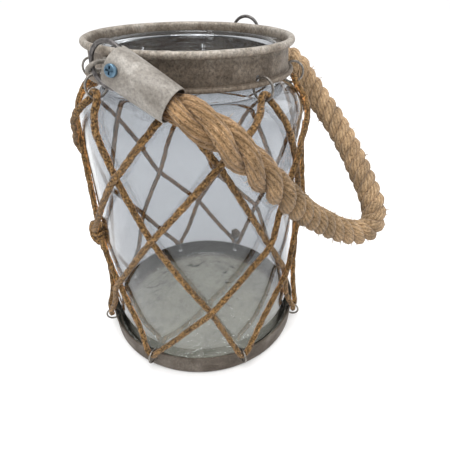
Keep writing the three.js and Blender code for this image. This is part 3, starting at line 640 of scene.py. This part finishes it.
def roughen_rim(mesh):
    for vertex in mesh.vertices:
        x, y, z = (c / MM for c in vertex.co)
        radius, azimuth = hypot(x, y), degrees(atan2(y, x)) % 360
        if z > UNDER_RIM - 0.5 and radius > BAND_TOP_R - 0.4:
            scale = 1 + rim_stands_out(azimuth) / RIM_ROLL
            reach = RIM_C[0] + (radius - RIM_C[0]) * scale
            height = RIM_C[1] + (z - RIM_C[1]) * scale
            vertex.co = Vector((x * reach / radius, y * reach / radius, height)) * MM


def wall_holes(wall_r, azimuths, height, radius):
    """Cutters for round holes through an upright wall."""
    return [cylinder(polar(wall_r - 4, azimuth, height), polar(wall_r + 3, azimuth, height),
                     radius, 20) for azimuth in azimuths]


def make_collar():
    profile = [(BAND_FOOT_R - SHEET, BAND_FOOT)]
    profile += arc(BEAD_C, BEAD_Z, BEAD_ROLL, -135, 140, 14)
    profile += [(BAND_FOOT_R, RING_HOLE_Z - RING_HOLE + 0.3), (BAND_FOOT_R, RING_HOLE_Z)]
    profile += band_points((0.3, 0.6, 0.9, 1), 0)
    profile += arc(RIM_C[0], RIM_C[1], RIM_ROLL, -125, 180, 22)
    profile += [(BAND_TOP_R - SHEET, UNDER_RIM)]
    profile += band_points((0.75, 0.5, 0.25), SHEET)
    profile += [(BAND_FOOT_R - SHEET, RING_HOLE_Z - RING_HOLE)]
    mesh = lathe("collar", profile, 160)
    roughen_rim(mesh)
    collar = link("collar", mesh, ZINC)
    cut(collar, wall_holes(BAND_FOOT_R, NET_TOPS, RING_HOLE_Z, RING_HOLE + 0.1))
    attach(collar, "lantern")
    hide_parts("neck_collar")


make_collar()


# ---- tray ----
TRAY_WALL_R = TRAY_R - 0.7 * TRAY_ROLL
FOOT_WALL = TRAY_WALL_R - SHEET / 2
FOOT_RING = (FOOT_WALL + FOOT_REACH, TRAY_H - FOOT_DROP)
FOOT_HOLE_Z = FOOT_RING[1] - sqrt(FOOT_RING_R ** 2 - FOOT_REACH ** 2)
NET_BOTTOMS = [94.9, 136.6, 181.4, 231.4, 280.1, 319.9, 4.9, 49.9]


def make_tray():
    foot = TRAY_WALL_R - TRAY_TAPER
    roll_z = TRAY_H - TRAY_ROLL
    inner = TRAY_CORNER - SHEET
    profile = [(0, 0), (foot - 14, 0)]
    profile += arc(foot - TRAY_CORNER, TRAY_CORNER, TRAY_CORNER, -90, 0, 8)
    profile += [(TRAY_WALL_R - 0.3, 10), (TRAY_WALL_R, roll_z - TRAY_ROLL)]
    profile += arc(TRAY_R - TRAY_ROLL, roll_z, TRAY_ROLL, -120, 150, 10)
    profile += [(TRAY_WALL_R - SHEET, roll_z)]
    profile += arc(foot - SHEET - inner, TRAY_CORNER, inner, 0, -90, 6)
    # a ring is pressed up in the floor
    pressed = SHEET + 0.1
    profile += [(foot - 20, SHEET), (60, SHEET), (55, pressed), (30, pressed), (26, SHEET)]
    profile += [(0, SHEET)]
    tray = link("tray", lathe("tray", profile, 160), TRAY_ZINC)
    cut(tray, wall_holes(TRAY_WALL_R, NET_BOTTOMS, FOOT_HOLE_Z, RING_HOLE + 0.4))
    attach(tray, "lantern")
    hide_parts("base_tray")


make_tray()


# ---- rings of the net ----
TOP_WALL = BAND_FOOT_R - SHEET / 2
TOP_RING = (TOP_WALL + TOP_REACH, RING_HOLE_Z - sqrt(TOP_RING_R ** 2 - TOP_REACH ** 2))


def make_net_ring(name, node, ring_r, wall, centre, azimuth, spin):
    """A ring that hangs in a hole of the wall, turned to a side by spin."""
    mesh = torus(name, ring_r, RING_WIRE, 40, 10)
    rotate(mesh, 90, "X")
    shift(mesh, centre[0] - wall, 0)
    rotate(mesh, spin, "Z")
    shift(mesh, wall, centre[1])
    rotate(mesh, azimuth, "Z")
    ring = link(name, mesh, WIRE)
    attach(ring, "lantern")
    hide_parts(node)


for i in range(NET_COUNT):
    make_net_ring(f"top_ring_{i + 1}", f"net_ring_top_{i + 1}", TOP_RING_R, TOP_WALL, TOP_RING,
                  NET_TOPS[i], FOLDED.get(i, 0))
    make_net_ring(f"base_ring_{i + 1}", f"net_ring_base_{i + 1}", FOOT_RING_R, FOOT_WALL,
                  FOOT_RING, NET_BOTTOMS[i], 0)

# ---- net ----
# where the legs cross, from the top down: azimuth and height
FIRST = [(40.2, 196), (85.2, 196), (130.2, 196), (174.6, 188),
         (220.9, 204), (265.2, 196), (310.2, 196), (355.2, 196)]
SECOND = [(60.0, 124), (105.3, 136), (138.9, 118), (188.7, 143),
          (246.9, 130), (285.3, 136), (330.3, 136), (19.1, 114)]
THIRD = [(77.5, 82), (122.5, 82), (159.6, 80), (214.4, 76),
         (263.5, 89), (302.5, 82), (347.5, 82), (33.3, 79)]
HOOK = CORD_R + RING_WIRE + HOOK_CLEARANCE
NET_SPACING = 0.8


def cord_radius_at(height):
    """Radius of a cord's middle where it lies on the glass."""
    offset = CORD_R + GAP
    if height <= SHOULDER_Z:
        return JAR_R + offset
    low, high = 0.0, pi / 2
    for _ in range(30):
        middle = (low + high) / 2
        if shoulder_point(middle, offset)[1] < height:
            low = middle
        else:
            high = middle
    return shoulder_point(low, offset)[0]


def leg_radius(height):
    """Radius of a leg's middle: on the glass, and leaning out to its rings at both ends."""
    on_glass = cord_radius_at(min(height, SHOULDER_Z + SHOULDER_RISE))
    if height > SHOULDER_Z + LEAVE_SHOULDER * SHOULDER_RISE:
        apex = TOP_RING[1] - TOP_RING_R + HOOK
        return max(on_glass, TOP_RING[0] + TOP_HOOK_OUT + TOP_LEAN * (apex - height))
    if height < LEAVE_WALL:
        low = FOOT_RING[1] + FOOT_RING_R - HOOK
        share = (LEAVE_WALL - height) / (LEAVE_WALL - low)
        return on_glass + share * (FOOT_RING[0] + FOOT_HOOK_OUT - on_glass)
    return on_glass


def bight(wall, centre, azimuth, spin, side):
    """The cord's turn through a ring, by angle from its middle; side is 1 at the top."""
    top = side > 0
    wire_z = centre[1] - side * (TOP_RING_R if top else FOOT_RING_R)
    lean = TOP_LEAN if top else FOOT_LEAN
    reach = centre[0] - wall
    offset = reach * sin(rad(spin))
    radius = wall + reach * cos(rad(spin)) + (TOP_HOOK_OUT if top else FOOT_HOOK_OUT)

    def at(angle):
        across = offset + HOOK * sin(rad(angle))
        height = wire_z + side * HOOK * cos(rad(angle))
        out = radius + lean * HOOK * (1 - cos(rad(angle)))
        return Matrix.Rotation(rad(azimuth), 3, "Z") @ Vector((out, across, height))
    return at


def hanging_bight(i):
    return bight(TOP_WALL, TOP_RING, NET_TOPS[i], FOLDED.get(i, 0), 1)


def foot_bight(i):
    return bight(FOOT_WALL, FOOT_RING, NET_BOTTOMS[i], 0, -1)


def leg_points(start, stop, over):
    """Points after start, up to a crossing where the leg may pass over another."""
    steps = 5 if max(start[1], stop[1]) > SHOULDER_Z else 3
    turn = (stop[0] - start[0] + 540) % 360 - 180
    points = []
    lift = CORD_LIFT if over else 0
    for i in range(1, steps):
        share = i / steps
        height = start[1] + (stop[1] - start[1]) * share
        points.append(polar(leg_radius(height) + lift / 2, start[0] + turn * share, height))
    points.append(polar(leg_radius(stop[1]) + lift, stop[0], stop[1]))
    return points


def azimuth_height(p):
    return degrees(atan2(p.y, p.x)), p.z


def run_leg(first, stops, last, over):
    """A leg from the side of one bight, by its crossings, to the side of the next."""
    points = [first(45), first(90)]
    start = azimuth_height(points[-1])
    for stop in stops:
        points += leg_points(start, stop, over)
        start = stop
    end = last(-90)
    points += leg_points(start, azimuth_height(end), over)[:-1]
    return points + [end, last(-45)]


def down_leg(i):
    return run_leg(hanging_bight(i), [FIRST[i], SECOND[i], THIRD[i]], foot_bight(i), False)


def up_leg(i):
    a, b, c, d = ((i + step) % NET_COUNT for step in (1, 2, 3, 4))
    return run_leg(foot_bight(i), [THIRD[a], SECOND[b], FIRST[c]], hanging_bight(d), True)


def cord_route(i):
    """Each cord makes two rounds, and its ends meet in the bight where it starts."""
    half = (i + NET_COUNT // 2) % NET_COUNT
    return ([foot_bight(half)(CORD_ENDS)] + up_leg(half) + [hanging_bight(i)(0)] + down_leg(i)
            + [foot_bight(i)(0)] + up_leg(i) + [hanging_bight(half)(0)] + down_leg(half)
            + [foot_bight(half)(-CORD_ENDS)])


def cord_radius(start):
    """Three plied strands, one after the other every 12 mm, a little uneven."""
    def radius(walked, angle):
        ply = abs(cos(angle * CORD_PLIES / 2 - walked * CORD_TWIST + start))
        uneven = 0.035 * sin(walked * 0.37 + start) + 0.03 * sin(walked * 1.3 + angle)
        rough = 0.03 * sin(walked * 2.9 + 5 * angle)
        rough *= sin(walked * 0.83 + 2 * angle + start)
        return CORD_R * (0.86 + 0.16 * ply + uneven + rough)
    return radius


def cord_turn(walked):
    return -walked * CORD_TWIST / (CORD_PLIES * pi)


def make_net_cord(i):
    name = f"cord_{i + 1}"
    path, _ = catmull(cord_route(i), NET_SPACING)
    mesh = sweep(name, path, cord_radius(random.random() * 10), 18, cord_turn)
    cord = link(name, mesh, CORD)
    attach(cord, "lantern")
    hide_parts(f"net_cord_{i + 1}")


for i in range(NET_COUNT // 2):
    make_net_cord(i)


# ---- knots ----
def knot_cord(name, points, start):
    path, _ = catmull(points, 1.0)
    return sweep(name, path, cord_radius(start), 14, cord_turn)


def wrapped_knot(name, node, place_at, axis, radius, length, turns):
    """Cord wrapped round and round a crossing of the net, with one turn over the others."""
    azimuth, height = place_at
    centre = polar(leg_radius(height) + CORD_LIFT / 2 - KNOT_SINK, azimuth, height)
    axis = axis.normalized()
    out = Vector((centre.x, centre.y, 0)).normalized()
    out = (out - axis * out.dot(axis)).normalized()
    side = axis.cross(out)
    wraps, over = [], []
    steps = int(turns * 14)
    for k in range(steps + 1):
        share = k / steps
        angle = 2 * pi * turns * share
        swell = radius * sqrt(max(0.25, 1 - 0.6 * (2 * share - 1) ** 2))
        wraps.append(centre + axis * (share - 0.5) * length
                     + out * swell * KNOT_SQUEEZE * cos(angle) + side * swell * sin(angle))
    for k in range(9):
        share = k / 8
        rise = (radius * KNOT_SQUEEZE + 1.6) * sin(pi * (0.1 + 0.8 * share))
        over.append(centre + axis * length * (share - 0.5) + out * rise
                    + side * radius * 0.5 * cos(pi * share))
    meshes = [knot_cord(name, wraps, 1.0), knot_cord(name + "_over", over, 2.0)]
    knot = link(name, join_meshes(name, meshes), KNOT_CORD)
    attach(knot, "lantern")
    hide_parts(node)


wrapped_knot("wrapped_knot", "knot_side", SECOND[2], Vector((0, 0.1, 1)),
             radius=4.6, length=19, turns=4.2)
wrapped_knot("base_knot", "knot_base", (NET_BOTTOMS[6], 34.5), Vector((0, 0.6, 0.8)),
             radius=4.4, length=8, turns=2.2)


# ---- lugs and rivets ----
def ring_centre(x, lug_y, angle):
    across, up = BAIL_R * cos(rad(angle)), BAIL_R * sin(rad(angle))
    return Vector((x, lug_y - across, LUG_Z + up))


def lug_facts(side):
    """Reach, y, the bow's direction across, and azimuth; side is -1 near and 1 far."""
    reach, lug_y, angle = ((NEAR_REACH, NEAR_LUG_Y, NEAR_ANGLE) if side < 0
                           else (FAR_REACH, FAR_LUG_Y, FAR_ANGLE))
    lean = rad(angle + SWING / 2)
    across = Vector((0, -cos(lean), sin(lean)))
    azimuth = degrees(atan2(lug_y, side * BAND_FOOT_R))
    return reach, lug_y, across, azimuth


def lug_bow(side, name):
    """Bent wire: a half round bow, with a leg down to the plate at each end."""
    reach, lug_y, across, _ = lug_facts(side)
    bow = Vector((side * (reach - LUG_SHORT), lug_y, LUG_Z))

    def leg(end):
        p = bow + across * end * LUG_HALF
        wall = sqrt((BAND_TOP_R + GAP + LUG_STAND) ** 2 - p.y ** 2)
        return [Vector((side * wall, p.y, p.z - LUG_DROP)), p]
    points = leg(-1)
    for k in range(1, 8):
        angle = rad(-90 + 22.5 * k)
        p = bow + across * LUG_HALF * sin(angle)
        p.x += side * LUG_HALF * cos(angle)
        points.append(p)
    path, _ = catmull(points + leg(1)[::-1], 0.6)
    return sweep(name, path, lambda s, angle: LUG_WIRE, 14)


def lug_foot(side, name, n_az=18, n_z=6):
    """A plate curved to the band, with rounded ends."""
    azimuth = lug_facts(side)[3]
    half_width = degrees(LUG_FOOT_W / BAND_FOOT_R)
    verts, faces = [], []
    for layer in (0, 1):
        for a in range(n_az + 1):
            across = 2 * a / n_az - 1
            past = max(0, (abs(across) - LUG_FOOT_ROUND) / (1 - LUG_FOOT_ROUND))
            rounding = sqrt(max(0.0, 1 - past ** 2))
            for z in range(n_z + 1):
                up = (2 * z / n_z - 1) * (0.45 + 0.55 * rounding)
                height = FOOT_Z + up * LUG_FOOT_H / 2
                radius = band_radius_at(height) + GAP + layer * LUG_FOOT_T
                verts.append(polar(radius, azimuth + across * half_width, height))

    def corner(layer, a, z):
        return (layer * (n_az + 1) + a) * (n_z + 1) + z
    for a in range(n_az):
        for z in range(n_z):
            square = ((a, z), (a + 1, z), (a + 1, z + 1), (a, z + 1))
            faces.append([corner(1, *at) for at in square])
            faces.append([corner(0, *at) for at in reversed(square)])
    rim = [(a, 0) for a in range(n_az)] + [(n_az, z) for z in range(n_z)]
    rim += [(a, n_z) for a in range(n_az, 0, -1)] + [(0, z) for z in range(n_z, 0, -1)]
    for here, after in zip(rim, rim[1:] + rim[:1]):
        faces.append((corner(0, *here), corner(0, *after), corner(1, *after), corner(1, *here)))
    return mesh_from(name, verts, faces)


def make_lug(side, name):
    meshes = [lug_bow(side, name + "_bow"), lug_foot(side, name + "_foot")]
    lug = link(name, join_meshes(name, meshes), FERRULE_ZINC)
    shade(lug, 40, turn_out=True)
    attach(lug, "lantern")
    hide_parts(name.replace("bow", "lug"))


def make_rivet(side, end, node):
    azimuth = lug_facts(side)[3]
    out = band_radius_at(FOOT_Z) + 2 * GAP + LUG_FOOT_T
    inside = band_radius_at(FOOT_Z + RIVET_HEAD_R) - SHEET - GAP
    dome = [(cos(rad(a)), sin(rad(a))) for a in range(0, 91, 15)]
    profile = [(RIVET_HEAD_R * c, inside - RIVET_HEAD_H * s) for c, s in dome][::-1]
    profile += [(RIVET_R, inside), (RIVET_R, out)]
    profile += [(RIVET_HEAD_R * c, out + RIVET_HEAD_H * s) for c, s in dome]
    mesh = lathe(node, profile, 24)
    rotate(mesh, 90, "Y")
    shift(mesh, 0, FOOT_Z)
    rotate(mesh, azimuth + end * degrees(RIVET_OFFSET / BAND_FOOT_R), "Z")
    rivet = link(node.replace("lug_", ""), mesh, FERRULE_ZINC)
    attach(rivet, "lantern")
    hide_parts(node)


for side, word in ((-1, "near"), (1, "far")):
    make_lug(side, f"bow_{word}")
    make_rivet(side, -1, f"lug_rivet_{word}_1")
    make_rivet(side, 1, f"lug_rivet_{word}_2")

# ---- bail rings, ferrules and screws ----
NEAR_RING = ring_centre(-NEAR_REACH, NEAR_LUG_Y, NEAR_ANGLE)
FAR_RING = ring_centre(FAR_REACH, FAR_LUG_Y, FAR_ANGLE)
BAIL_AXIS = (FAR_RING - NEAR_RING).normalized()


def bail_ring(name, centre, wire, segments, sides):
    mesh = torus(name, BAIL_R, wire, segments, sides)
    return place(mesh, centre, BAIL_AXIS)


for word, centre in (("near", NEAR_RING), ("far", FAR_RING)):
    name = f"ring_{word}"
    ring = link(name, bail_ring(name, centre, BAIL_WIRE, 72, 14), BAIL_WIRE_LOOK)
    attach(ring, "bail_rings")
    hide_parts(f"bail_ring_{word}")


class Ferrule:
    """Where one ferrule and its screw lie; side is -1 near and 1 far."""

    def __init__(self, side, centre, pitch, yaw, lift, screw_reach):
        self.centre = centre
        self.along = Vector((-side * sin(rad(yaw)) * cos(rad(pitch)),
                             -cos(rad(yaw)) * cos(rad(pitch)), -sin(rad(pitch))))
        up = Vector((0, 0, 1))
        up = (up - self.along * up.dot(self.along)).normalized()
        outward = self.along.cross(up) * -side
        self.end = centre + self.along * FERRULE_REACH + up * lift
        self.mouth = self.end + self.along * FERRULE_L
        self.screw = self.end + self.along * screw_reach
        self.outward = outward * cos(rad(SCREW_ROLL)) + up * sin(rad(SCREW_ROLL))

    def inside(self, depth):
        return self.mouth - self.along * depth


NEAR = Ferrule(-1, NEAR_RING, pitch=27.9, yaw=4.2, lift=2.1, screw_reach=NEAR_SCREW)
FAR = Ferrule(1, FAR_RING, pitch=14, yaw=10, lift=-5, screw_reach=FAR_SCREW)


def make_ferrule(f, word):
    """A tube that tapers to its mouth, with a slot for the ring and a hole for the screw."""
    taper = FERRULE_L - FERRULE_TAPER
    bore, mouth_bore = FERRULE_R - FERRULE_WALL, FERRULE_MOUTH - FERRULE_WALL
    profile = [(bore, 0.3), (bore + 0.3, 0), (FERRULE_R - 0.3, 0), (FERRULE_R - 0.08, 0.12),
               (FERRULE_R, 0.4)]
    profile += [(FERRULE_R, taper * share) for share in (0.15, 0.4, 0.7, 1.0)]
    for share in (0.3, 0.6, 0.97):
        radius = FERRULE_R + (FERRULE_MOUTH - FERRULE_R) * share
        profile.append((radius, taper + FERRULE_TAPER * share))
    profile += [(FERRULE_MOUTH, FERRULE_L - 0.3), (FERRULE_MOUTH - 0.2, FERRULE_L),
                (mouth_bore + 0.2, FERRULE_L), (mouth_bore, FERRULE_L - 0.3), (bore, taper)]
    mesh = place(lathe(f"tube_{word}", profile, 96), f.end, f.along)
    tube = link(f"tube_{word}", mesh, FERRULE_ZINC)
    slot = bail_ring("slot", f.centre, BAIL_WIRE + 2 * GAP + 0.1, 48, 12)
    reach = f.outward * (FERRULE_R + 3)
    cut(tube, [slot, cylinder(f.screw - reach, f.screw + reach, SCREW_HOLE, 20)])
    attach(tube, "bail")
    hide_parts(f"ferrule_{word}")


def recess_bar(turn, height):
    """One bar of the cross recess in the screw's head."""
    box = bmesh.new()
    bmesh.ops.create_cube(box, size=1)
    bmesh.ops.scale(box, vec=Vector(RECESS) * MM, verts=box.verts)
    bmesh.ops.rotate(box, matrix=Matrix.Rotation(rad(turn), 3, "Z"), verts=box.verts)
    bmesh.ops.translate(box, vec=Vector((0, 0, height)) * MM, verts=box.verts)
    bar = bpy.data.meshes.new("bar")
    box.to_mesh(bar)
    box.free()
    return bar


def make_screw(f, word):
    seat = FERRULE_R + GAP
    tip = SCREW_TIP - FERRULE_R
    profile = [(0, tip), (SCREW_TIP, tip), (SCREW_R, tip + 0.6), (SCREW_R, seat)]
    profile += [(SCREW_HEAD_R, seat)]
    profile += arc(SCREW_HEAD_R - SCREW_EDGE, seat + SCREW_EDGE, SCREW_EDGE, 0, 80, 8)
    profile += [(1.2, seat + SCREW_HEAD_H - 0.03), (0, seat + SCREW_HEAD_H)]
    screw = link(f"screw_{word}", lathe(f"screw_{word}", profile, 40), SCREW)
    for turn in (0, 90):
        cut(screw, [recess_bar(turn, seat + SCREW_HEAD_H)])
    place(screw.data, f.screw, f.outward)
    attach(screw, "bail")
    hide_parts(f"ferrule_screw_{word}")


for f, word in ((NEAR, "near"), (FAR, "far")):
    make_ferrule(f, word)
    make_screw(f, word)

# ---- rope ----
ROPE_LOOP = [Vector(p) for p in (
    (-89.5, -56.5, 240.5), (-86.5, -67, 234.5), (-82, -74, 227), (-75, -80, 217.5),
    (-66, -85.5, 206), (-55.5, -91, 193.5), (-44, -97, 180.5), (-32.5, -103.5, 167.5),
    (-22, -110, 156), (-12.5, -116.5, 147), (-3, -124.5, 138), (6, -133, 131.5),
    (15, -141.5, 127.5), (24, -148.5, 126.5), (33, -152, 129.5), (40.5, -150.5, 136),
    (47, -146, 143), (53, -139.5, 150), (60, -131, 159), (66, -124, 166.5),
    (71.5, -116.5, 175), (76.5, -107.5, 184.5), (80, -98, 194), (83, -88, 203),
    (85, -79, 211.5), (86.5, -70.5, 220.5), (87.2, -63.5, 228.5), (87.7, -57.5, 235.5),
    (88, -52, 240),
)]
ROPE_SPACING, STRAND_SIDES = ((1.0, 54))


def rope_route():
    depths = (ROPE_TUCK, ROPE_TUCK / 2, 0)
    return ([NEAR.inside(depth) for depth in depths] + ROPE_LOOP
            + [FAR.inside(depth) for depth in reversed(depths)])


def smooth_step(x, a, b):
    t = min(1.0, max(0.0, (x - a) / (b - a)))
    return t * t * (3 - 2 * t)


def tightness(s):
    """0 where the rope is slack, near the near ferrule, and 1 from its middle on."""
    return smooth_step(s, SLACK_END, TIGHT_START)


def clear_of_ferrules(s, total):
    """0 in the ferrules and 1 between them."""
    start, end = ROPE_TUCK - 1, ROPE_TUCK + 9
    return min(smooth_step(s, start, end), smooth_step(total - s, start, end))


def running_total(rate, length):
    """A function that gives a rate's sum up to any length, by a table of each millimetre."""
    table = [0.0]
    for step in range(int(length) + 2):
        table.append(table[-1] + rate(step + 0.5))
    return lambda s: table[int(s)] + (table[int(s) + 1] - table[int(s)]) * (s - int(s))


def strand_path(k, path, total, lay):
    """The middle of strand k, which winds round the rope's path."""
    points, s = [], 0.0
    for i, (p, t, n) in enumerate(zip(path, *frames_along(path))):
        s += (p - path[i - 1]).length if i else 0
        angle = lay(s) + 2 * pi * k / 3 + 0.6
        swell = 1.2 + 0.4 * (1 - tightness(s))
        reach = STRAND_REACH + swell * clear_of_ferrules(s, total)
        reach += 0.35 * sin(s * 0.11 + 2.1 * k)
        points.append(p + (n * cos(angle) + t.cross(n) * sin(angle)) * reach)
    return points


def strand_radius(k, total, length, yarn):
    """Skin of strand k: nine yarns in ridges, which stray where the rope is slack."""
    def radius(s, angle):
        loose = clear_of_ferrules(s * total / length, total)
        slack = 1 - tightness(s * 0.85)
        base = STRAND_R + (0.4 + 0.5 * slack) * loose
        astray = 0.5 * sin(s * 0.19 + 2 * angle + k) + 0.35 * sin(s * 0.47 - angle)
        ridge = abs(sin(angle * YARNS / 2 + yarn(s) + astray * slack))
        rough = 0.16 * sin(s * 0.9 + k * 2 + 3 * sin(angle)) * sin(s * 0.31 + k)
        rough += 0.12 * sin(2 * angle + 0.23 * s + 1.7 * k)
        return base * (0.92 + (0.08 + 0.07 * slack) * ridge) + loose * rough
    return radius


def fibre(path, tangents, normals):
    """One loose fibre, a thin bent spike that stands off the rope: its corners, tip last."""
    i = random.randrange(int(len(path) * 0.09), int(len(path) * 0.91))
    along, angle = tangents[i], random.random() * 2 * pi
    out = normals[i] * cos(angle) + along.cross(normals[i]) * sin(angle)
    side = along.cross(out)
    lean = along * random.uniform(-1.4, 1.4) + side * random.uniform(-1, 1)
    length = random.uniform(0.4, 1.0) * FUZZ_REACH
    root = path[i] + out * (ROPE_R - 1.2)
    bend = root + (out + lean * 0.4).normalized() * (0.6 * length + 1.0)
    tip = bend + (out * 0.5 + lean * 0.9).normalized() * length * 0.6
    width = random.uniform(0.16, 0.34)
    corners = []
    for at, size in ((root, width), (bend, width * 0.7)):
        for k in range(3):
            a = 2 * pi * k / 3
            corners.append(at + along * size * cos(a) + side * size * sin(a))
    reach = tip - path[i]
    return corners + [path[i] + reach * min(1, FUZZ_LIMIT / reach.length)]


def make_fuzz(path):
    verts, faces = [], []
    tangents, normals = frames_along(path)
    for _ in range(FUZZ_COUNT):
        base = len(verts)
        verts += fibre(path, tangents, normals)
        for k in range(3):
            m = (k + 1) % 3
            faces.append((base + k, base + m, base + 3 + m, base + 3 + k))
            faces.append((base + 3 + k, base + 3 + m, base + 6))
        faces.append((base + 2, base + 1, base))
    return mesh_from("fuzz", verts, faces, [(0.5, 0.5)] * len(verts))


def make_rope():
    """Three strands laid together, each of nine yarns that turn against the lay."""
    path, total = catmull(rope_route(), ROPE_SPACING)
    lay = running_total(
        lambda s: 2 * pi / (LAY_SLACK + (LAY_TIGHT - LAY_SLACK) * tightness(s)), total)
    yarn = running_total(
        lambda s: YARN_SLACK + (YARN_TIGHT - YARN_SLACK) * tightness(s), total * 1.6)
    meshes = []
    for k in range(3):
        strand = strand_path(k, path, total, lay)
        length = sum((b - a).length for a, b in zip(strand, strand[1:]))
        meshes.append(sweep(f"strand_{k}", strand, strand_radius(k, total, length, yarn),
                            STRAND_SIDES, lambda s: yarn(s) / (YARNS * pi)))
    meshes.append(make_fuzz(path))
    rope = link("rope", join_meshes("rope", meshes), ROPE)
    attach(rope, "bail")
    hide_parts("handle_rope")
    return rope, path, total


rope, rope_path, rope_length = make_rope()


# ---- studio ----
FLOOR_HALF = 9000
WORLD_STRENGTH = 1.06
AIM = Vector((0, 0, 0.13))
LAMPS = (("key", (-0.7, -0.2, 1.4), 0.8, 11), ("fill", (0.8, -0.8, 0.9), 1.0, 4),
         ("top", (0.05, 0.1, 1.6), 0.5, 7))     # name, place and size in metres, and watts


def make_floor():
    corners = [(x * FLOOR_HALF, y * FLOOR_HALF, 0) for x, y in ((-1, -1), (1, -1), (1, 1), (-1, 1))]
    n = Nodes("pale_floor")
    n.set(Base_Color=(0.95, 0.95, 0.95), Roughness=0.95, Specular_IOR_Level=0.0)
    floor = link("floor", mesh_from("floor", corners, [(0, 1, 2, 3)]), n.material)


def make_lights():
    world = bpy.data.worlds.new("studio")
    bpy.context.scene.world = world
    world.use_nodes = True
    background = world.node_tree.nodes["Background"]
    background.inputs[0].default_value = (1.0, 1.0, 1.0, 1)
    background.inputs[1].default_value = WORLD_STRENGTH
    for name, at, size, power in LAMPS:
        data = bpy.data.lights.new(name, "AREA")
        data.size = size
        data.energy = power
        lamp = bpy.data.objects.new(name, data)
        lamp.location = at
        lamp.rotation_euler = (AIM - Vector(at)).to_track_quat("-Z", "Y").to_euler()
        bpy.context.scene.collection.objects.link(lamp)
    bpy.context.scene.view_settings.view_transform = "Standard"


make_floor()
make_lights()
